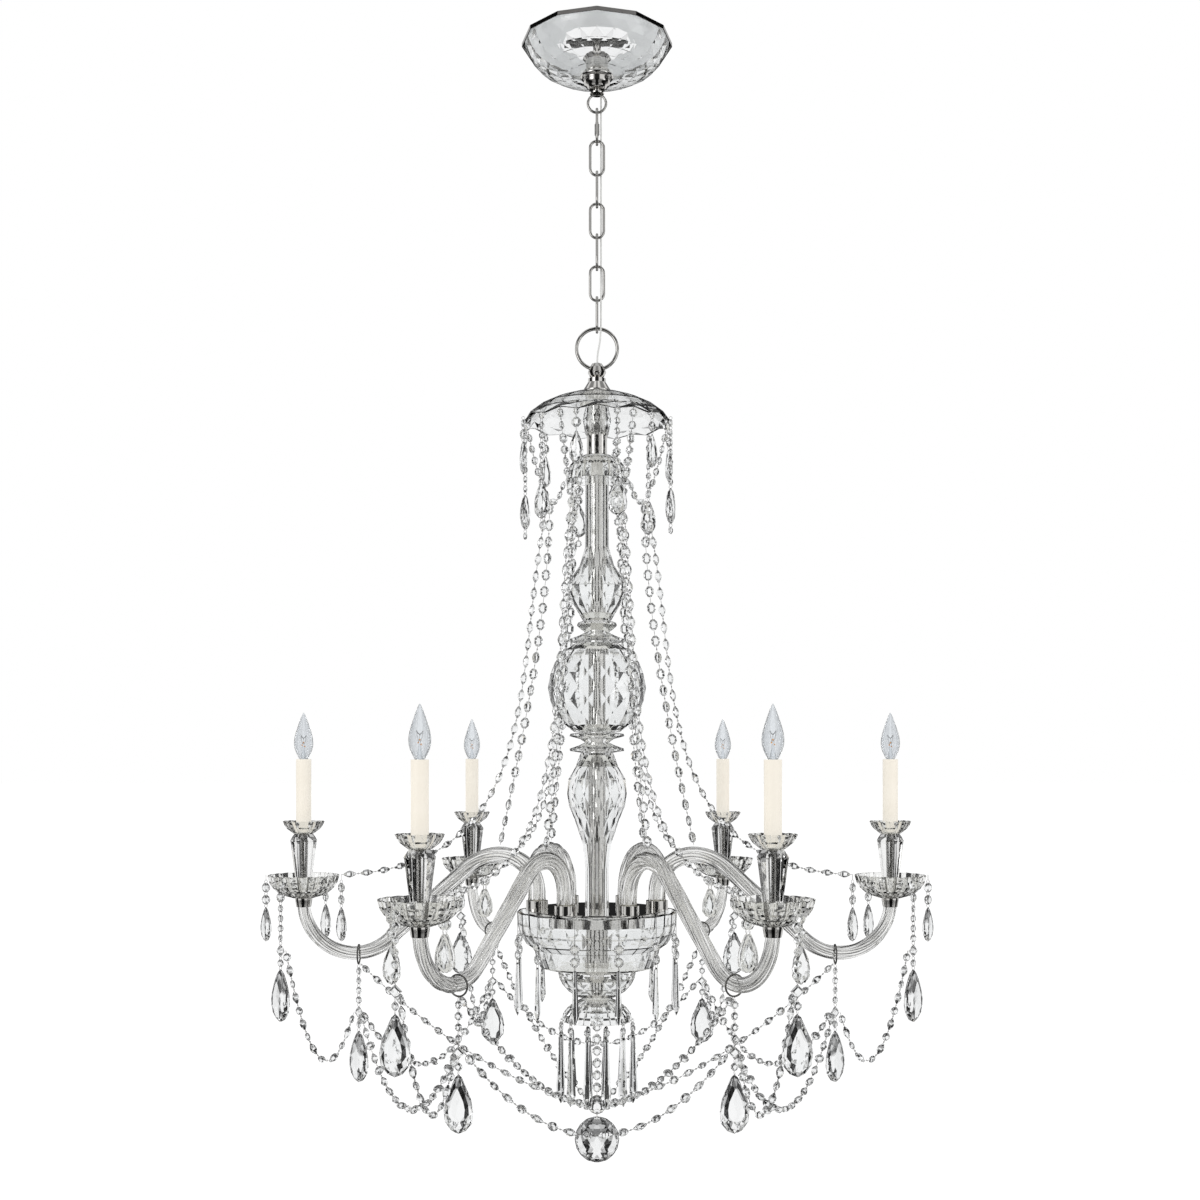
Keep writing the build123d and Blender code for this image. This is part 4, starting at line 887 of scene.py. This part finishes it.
def dishes():
    canopy = Shape()
    rim = 121.9 * cos(pi / 12)
    depth = -DISH_FLOOR - CANOPY_SHEET
    bends = [(1.0, 0.0), (0.975, 0.2), (0.92, 0.44), (0.83, 0.66), (0.71, 0.82), (0.56, 0.93), (0.4, 1.0),
             (0.12, 1.0)]
    outer = [(rim * share, -CANOPY_SHEET - depth * drop) for share, drop in bends]
    inner = [(rim * share - DISH_GLASS, -CANOPY_SHEET - (depth - DISH_GLASS) * drop) for share, drop in bends]
    outer[-1], inner[-1] = (7.0, DISH_FLOOR), (7.0, DISH_FLOOR + DISH_GLASS)
    cut_band(canopy, outer, inner, 24, [0, 1, 0, 1, 0, 1, 0, 0])
    piece("canopy_cut", canopy, ["canopy_dish"], body="canopy")
    crown = [(24, 0), (CROWN_R * 0.34, CROWN_H * 0.1), (CROWN_R * 0.58, CROWN_H * 0.3),
             (CROWN_R * 0.77, CROWN_H * 0.53), (CROWN_R * 0.91, CROWN_H * 0.8), (CROWN_R * 0.985, CROWN_H)]
    dish("crown_cut", "crown_dish", from_level(CROWN_Z, crown, -1.0), 5.0, 24, 5.5, 0.0, [0, 1, 0, 1, 0, 0])
    receiver = [(24, 0), (RECEIVER_R * 0.68, 6.7), (RECEIVER_R * 0.85, 15), (RECEIVER_R * 0.93, 27),
                (RECEIVER_R * 0.96, 40)]
    dish("receiver_cut", "receiver_dish", from_level(RECEIVER_Z, receiver, -1.0), 4.0, 32, 1.5, 0.05)
    bell = [(25, 0), (BELL_R * 0.6, 6), (BELL_R * 0.78, 14), (BELL_R * 0.9, 24), (BELL_R * 0.955, 35)]
    dish("bell_cut", "prism_dish", from_level(BELL_Z, bell, -1.0), 4.0, 32, 1.0, 0.06)
    shape = Shape()
    wall, floor, scallop = 5.0, 3.0, 1.5
    tiers = [(67, 97), (94, 91), (100, 76), (104, 61), (117, 52), (127, 36), (131, 20), (132, 2)]
    bowl = from_level(BOWL_RIM, tiers, -1.0)
    outer = [(BORE, BOWL_FOOT)] + bowl
    inner = [(BORE, BOWL_FOOT + wall)] + [(radius - wall, z + floor) for radius, z in bowl[:-1]]
    inner.append((bowl[-1][0] - wall, BOWL_RIM))
    cut_band(shape, outer, inner, 32, [0, 0, 1, 1, 0, 0, 1, 0, 0], {8: -scallop, 9: -scallop})
    piece("bowl_cut", shape, ["hub_bowl"])
    pan = [(18, 0), (33, 4.5), (43, 10.5), (50, 17), (55.5, 25), (57.5, 32), (59.0, 37)]
    dish("drip_pans_cut", "drip_pans", from_level(PAN_Z, pan), 3.6, 36, 1.2, 0.07, lamps=True)
    small = [(17, 0), (20.5, 2.6), (27.5, 8), (32.5, 15), (34.5, 20)]
    dish("candle_dishes_cut", "candle_dishes", from_level(DISH_Z, small), 3.0, 28, 1.0, 0.08, lamps=True)


def posts():
    """Cut crystal posts: slim foot, broad bevelled shoulder with long flat cuts."""
    post = Shape()
    bends = [(13.4, 0), (14.2, 0.3), (21.2, 0.84), (22.4, 0.89), (18.5, 0.95), (14.6, 1.0)]
    bore = [(5.6, POST_Z), (5.6, POST_Z + POST_H)]
    cut_band(post, from_level(POST_Z, bends, POST_H), bore, 10, [0, 0, 0, 0, 1, 1])
    piece("posts_cut", at_each_lamp(post), ["candle_posts"], [post_glass])


# ---- metal
def canopy_metal():
    """Barrel, stem and eye in one piece, and the stepped ring nut under the dish."""
    fitting = Shape()
    seat = DISH_FLOOR + DISH_GLASS
    barrel_top = seat + BARREL_H
    shoulder = [(STEM_R, 6), (9.5, 6), (9.5, 0), (21.5, 0), (BARREL_R - 0.3, -2.5), (18.5, -6)]
    lathe(fitting, [(0.01, -0.3), (STEM_R, -0.3)] + from_level(barrel_top, shoulder)
          + from_level(seat, [(18.5, 6), (BARREL_R - 0.3, 2.5), (BARREL_R - 0.8, 0), (STEM_R, 0)])
          + from_level(STEM_FOOT, [(STEM_R, 3.0), (9.5, 2.8), (11.8, 1.8), (11.2, 0), (0.01, 0)]), 40)
    rod(fitting, round_path(Z * LOOP_Z, LOOP_R, X, Z, 56), LOOP_WIRE, 14, True)
    piece("canopy_fitting", fitting, ["canopy_loop"], [nickel], "canopy", 32)
    collar = Shape()
    low, top = DISH_FLOOR - COLLAR_H, DISH_FLOOR - FIT
    steps = [(6.3, 0), (26.5, 0), (COLLAR_R - 0.4, -1.6), (27.4, -4.2), (25.4, -5.8), (22.2, -6.8),
             (21.6, -9), (21.9, -13), (20.6, -16), (16.6, -17.6), (15.8, -20), (13.6, -22.6)]
    lathe(collar, from_level(top, steps) + [(10.6, low), (6.3, low)], 48)
    piece("stepped_collar", collar, ["canopy_collar"], [nickel], "collar", 50)


def chain():
    """The links, the hanging ring and the wire rings on the arms."""
    bend = LINK_WIDTH / 2 - LINK_WIRE
    straight = LINK_REACH - bend
    for number in range(1, LINK_COUNT + 1):
        middle = Z * (FIRST_LINK - (number - 1) * LINK_PITCH)
        side = Y if number % 2 else X
        loop = []
        for up in (1, -1):
            start = 0 if up == 1 else pi
            for k in range(17):
                turn = start + pi * k / 16
                height = up * straight + bend * sin(turn)
                loop.append(middle + Z * height + side * (bend * cos(turn)))
            loop += [loop[-1] - Z * (up * (2 * straight * k / 5)) for k in range(1, 5)]
        bar = Shape()
        rod(bar, loop, LINK_WIRE * 0.985, 12, True)
        if number == 1:
            nut = []
            for radius, z in ((3.1, -10), (3.9, -9), (3.9, 9), (3.1, 10)):
                nut.append([p + middle + Y * bend for p in circle(radius, z, 6)])
            bar.loft(nut, slot=1)
            for z in (-12.5, -11.4, 11.4, 12.5):
                rod(bar, round_path(middle + Y * bend + Z * z, LINK_WIRE, X, Y, 14), 0.42, 5, True, slot=1)
            piece("quick_link_bar", bar, ["quick_link"], [nickel, dark_nickel], "link_1", 35)
        else:
            piece(f"link_bar_{number}", bar, [f"chain_link_{number}"], [nickel], f"link_{number}",
                  60)
    ring = Shape()
    rod(ring, round_path(Z * RING_Z, RING_R, X, Z, 80), RING_WIRE * 0.99, 18, True)
    piece("hanging_ring", ring, ["suspension_ring"], [nickel], "ring", 60)
    hooks = Shape()
    for angle in arm_angles:
        centre = polar(HOOK_AT, angle, HOOK_Z)
        rod(hooks, round_path(centre, HOOK_R, polar(1, angle + 90), Z, 44), HOOK_WIRE, 8, True)
    piece("arm_wire_rings", hooks, ["arm_hooks"], [dark_nickel], smooth=60)


def supply_lead():
    """Insulated lead beside the chain, on the route of the CAD cord."""
    side, entry = CORD_SIDE, CORD_ENTRY
    route = [(side, side, STEM_FOOT), (side, side, CORD_BEND_Z),
             (side, side, CORD_CROSSING_Z + CORD_CROSSING), (side, -side, CORD_CROSSING_Z - CORD_CROSSING),
             (side, -side, RING_Z + RING_R / 2),
             (0.5, -entry, RING_Z - RING_R / 3), (0.5, -entry, HOLDER_Z + 9.0)]
    data = bpy.data.curves.new("supply_lead", "CURVE")
    data.dimensions = "3D"
    data.resolution_u = 16
    data.bevel_depth = 0.0014  # half the cord's diameter, in metres
    data.bevel_resolution = 3
    data.use_fill_caps = True
    spline = data.splines.new("NURBS")
    spline.points.add(len(route) - 1)
    for point, place in zip(spline.points, route):
        point.co = (*(value * MM for value in place), 1.0)
    spline.order_u = 3
    spline.use_endpoint_u = True
    data.materials.append(cord_skin)
    thing = placed("supply_lead", data)
    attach(thing, "canopy")
    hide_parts("supply_cord")


# ---- lamps and candles
def bulbs():
    """Clear torpedo envelope with its mount, support wires, filament and coloured beads inside."""
    outline = [(6.6, 0.0), (7.4, 0.03), (10.2, 0.1), (13.4, 0.19), (15.2, 0.28), (15.65, 0.36), (15.1, 0.45),
               (13.4, 0.55), (11.0, 0.65), (8.4, 0.75), (5.9, 0.84), (3.7, 0.915), (2.0, 0.965), (0.9, 0.99),
               (0.05, 1.0)]
    mount = [(0.01, 0.5), (5.6, 0.5), (4.2, 6), (2.2, 16), (1.6, 25), (2.4, 27), (0.01, 27.6)]
    screw = [(0.01, -16.8), (3.5, -16.8), (5.9, -14), (5.9, -0.2), (6.5, 0.3), (0.01, 0.3)]
    glass_slot, screw_slot, wire_slot, bead_slot = 0, 1, 2, 3
    wire_top, coil_half, coil_arch, coil_r = 41, 4.4, 5.2, 0.55
    for number, angle in enumerate(arm_angles, 1):
        envelope, inside = Shape(), Shape()
        outer = from_level(BULB_SEAT, outline, BULB_H)
        inner = [(max(radius - 0.55, 0.03), min(z + 0.3, BULB_SEAT + 77.2)) for radius, z in outer]
        lathe(envelope, outer + inner[::-1], 40)
        lathe(inside, from_level(BULB_SEAT, mount), 16, glass_slot)
        lathe(inside, from_level(BULB_SEAT, screw), 24, screw_slot)
        for sign in (-1, 1):
            support = [(sign * 1.2, 26), (sign * 3.4, 33), (sign * coil_half, wire_top)]
            rod(inside, [Vector((x, 0, BULB_SEAT + z)) for x, z in support], 0.28, 5, slot=wire_slot)
        coil = []
        for k in range(97):
            sweep = k / 96
            arch = BULB_SEAT + wire_top - coil_arch * sin(pi * sweep)
            turn = k * 1.57
            coil.append(Vector((-coil_half + 2 * coil_half * sweep, coil_r * cos(turn),
                                arch + coil_r * sin(turn))))
        rod(inside, coil, 0.16, 4, slot=wire_slot)
        rod(inside, [Z * (BULB_SEAT + 27), Z * (BULB_SEAT + 35.4)], 0.24, 5, slot=wire_slot)
        for x, z in ((-1.9, 24.5), (1.9, 22.0), (0, 28.4)):
            bead = Shape()
            faceted_ball(bead, 1.15, Vector((x, -0.6, BULB_SEAT + z)), 8, 5)
            bead.slots = [bead_slot] * len(bead.faces)
            inside.join(bead)
        to_arm = Matrix.Translation(polar(ARM_REACH, angle))
        lamp = f"lamp_{number}"
        piece(f"bulb_glass_{number}", envelope.moved(to_arm), [f"bulb_{number}"], [blown], lamp,
              50)
        piece(f"bulb_filament_{number}", inside.moved(to_arm), [], [blown, brass, tungsten, amber], lamp,
              40)


def candles():
    """Ivory sleeves with a rounded lip and a slightly uneven, cast-wax surface."""
    sleeve = Shape()
    lip = [(12.4, -3), (12.5, -1.2), (12.2, -0.2), (11.8, 0), (11.4, -0.3), (11.3, -2)]
    wall = [(11.3, 0), (12.5, 0), (12.42, 6), (12.35, 60)]
    lathe(sleeve, from_level(CANDLE_Z, wall) + from_level(CANDLE_TOP, lip))
    piece("candle_tubes", at_each_lamp(sleeve), ["candle_sleeves"], [ivory], smooth=40)


hanging_stones()
pendants()
strings()
for number, angle in enumerate(arm_angles, 1):
    glass_arm(number, angle)
column()
dishes()
posts()
canopy_metal()
chain()
supply_lead()
bulbs()
candles()


# ---- carried-over CAD pieces
slot_of = {part["node"]: part["material_slot"] for part in frame["record"]["subparts"]}
for name, thing in frame["nodes"].items():
    thing.data.materials.clear()
    thing.data.materials.append(finish_and_painted_reflection_of.get(name, by_slot[slot_of[name]]))


# ---- studio
FLAGS_R = 40.0  # metres; so far out that every part of the object mirrors the flags alike
OBJECT_MIDDLE = (0, 0, -1.2)


def white_world():
    """The same plain white for the camera, for diffuse light, and for what metal and glass show."""
    world = bpy.data.worlds.new("studio")
    bpy.context.scene.world = world
    tree = new_nodes(world)
    show(tree, node(tree, "Background", s_Color=(1, 1, 1, 1), s_Strength=1.0), "OutputWorld")


def striped(tree, compass, times, stops):
    """How open the flags are by compass side, with that many equal stripes round the horizon."""
    wave = figure(tree, "COSINE", figure(tree, "MULTIPLY", compass, times))
    stripes = ramp(tree, stops)
    link(tree, spread(tree, wave, -1.0), stripes.inputs[0])
    return stripes.outputs[0]


def dark_flags():
    """Dark cloth flags and hoops round the studio, which glass and metal mirror.

    The white world shows between them.
    """
    material = bpy.data.materials.new("dark_flags")
    tree = new_nodes(material)
    coord = node(tree, "TexCoord")
    split = node(tree, "SeparateXYZ")
    link(tree, coord.outputs["Object"], split.inputs[0])
    compass = figure(tree, "ARCTAN2", split.outputs["Y"], split.outputs["X"])
    through_glass = striped(tree, compass, 8.0, [(0.0, 0.015), (0.2, 0.05), (0.3, 0.6), (0.42, 1.0)])
    on_metal = striped(tree, compass, 4.0, [(0.0, 1.0), (0.4, 0.95), (0.56, 0.06), (1.0, 0.02)])
    refracted = node(tree, "LightPath").outputs["Is Transmission Ray"]
    stripes = colour_mix(tree, refracted, on_metal, through_glass)
    hoops = ramp(tree, [(0.0, 0.5), (0.12, 0.1), (0.2, 0.75), (0.27, 0.06), (0.36, 0.95), (0.72, 1.0),
                        (0.79, 0.06), (0.86, 0.8), (0.93, 0.1), (1.0, 1.0)])
    link(tree, spread(tree, split.outputs["Z"], -FLAGS_R, FLAGS_R), hoops.inputs[0])
    gaps = node(tree, "BsdfTransparent")
    link(tree, colour_mix(tree, 1.0, stripes, hoops.outputs[0], "MULTIPLY"), gaps.inputs["Color"])
    show(tree, gaps)
    work = bmesh.new()
    bmesh.ops.create_uvsphere(work, u_segments=96, v_segments=48, radius=FLAGS_R)
    mesh = bpy.data.meshes.new("dark_flags")
    work.to_mesh(mesh)
    work.free()
    mesh.materials.append(material)
    thing = placed("dark_flags", mesh)
    thing.location = OBJECT_MIDDLE
    thing.visible_camera = False
    thing.visible_diffuse = False
    thing.visible_shadow = False


def area_light(name, place, target, size, power):
    light = bpy.data.lights.new(name, "AREA")
    light.shape = "RECTANGLE"
    light.size, light.size_y = size
    light.energy = power
    thing = placed(name, light)
    thing.location = place
    thing.rotation_euler = (Vector(target) - Vector(place)).to_track_quat("-Z", "Y").to_euler()
    thing.visible_camera = False


def pale_floor():
    """Floor that keeps the object's shadow; metal and glass see the white world in its place."""
    mesh = bpy.data.meshes.new("floor")
    reach, level = 60.0, -2.3
    corners = [(-reach, -reach), (reach, -reach), (reach, reach), (-reach, reach)]
    mesh.from_pydata([(x, y, level) for x, y in corners], [], [(0, 1, 2, 3)])
    thing = placed("floor", mesh)
    material = bpy.data.materials.new("pale_floor")
    tree = new_nodes(material)
    look = surface(tree, 3.0, 0.7, 0.85, (0.93, 0.93, 0.93), (0.97, 0.97, 0.97), 0.0)
    matt = node(tree, "BsdfDiffuse")
    link(tree, look.outputs["Color"], matt.inputs["Color"])
    glow = node(tree, "Emission", s_Color=(1, 1, 1, 1), s_Strength=1.12)
    show(tree, shader_mix(tree, 0.6, matt, glow))
    mesh.materials.append(material)
    thing.visible_glossy = False
    thing.visible_transmission = False


white_world()
dark_flags()
area_light("overhead", (0.0, 0.0, 0.9), (0, 0, -1), (2.4, 2.4), 6)
area_light("key", (-1.9, -2.0, -0.4), OBJECT_MIDDLE, (1.0, 1.8), 9)
area_light("side", (2.2, -0.9, -0.8), OBJECT_MIDDLE, (0.7, 1.6), 4)
pale_floor()

camera = bpy.data.cameras.new("camera")
camera.sensor_width = 36.0
camera.lens = 45.0
camera.shift_y = 0.131
camera.clip_end = 100.0
viewer = placed("camera", camera)
viewer.location = (0.005, -2.475, -1.178)
viewer.rotation_euler = (pi / 2, 0, 0)
bpy.context.scene.camera = viewer
bpy.context.scene.view_settings.view_transform = "Standard"
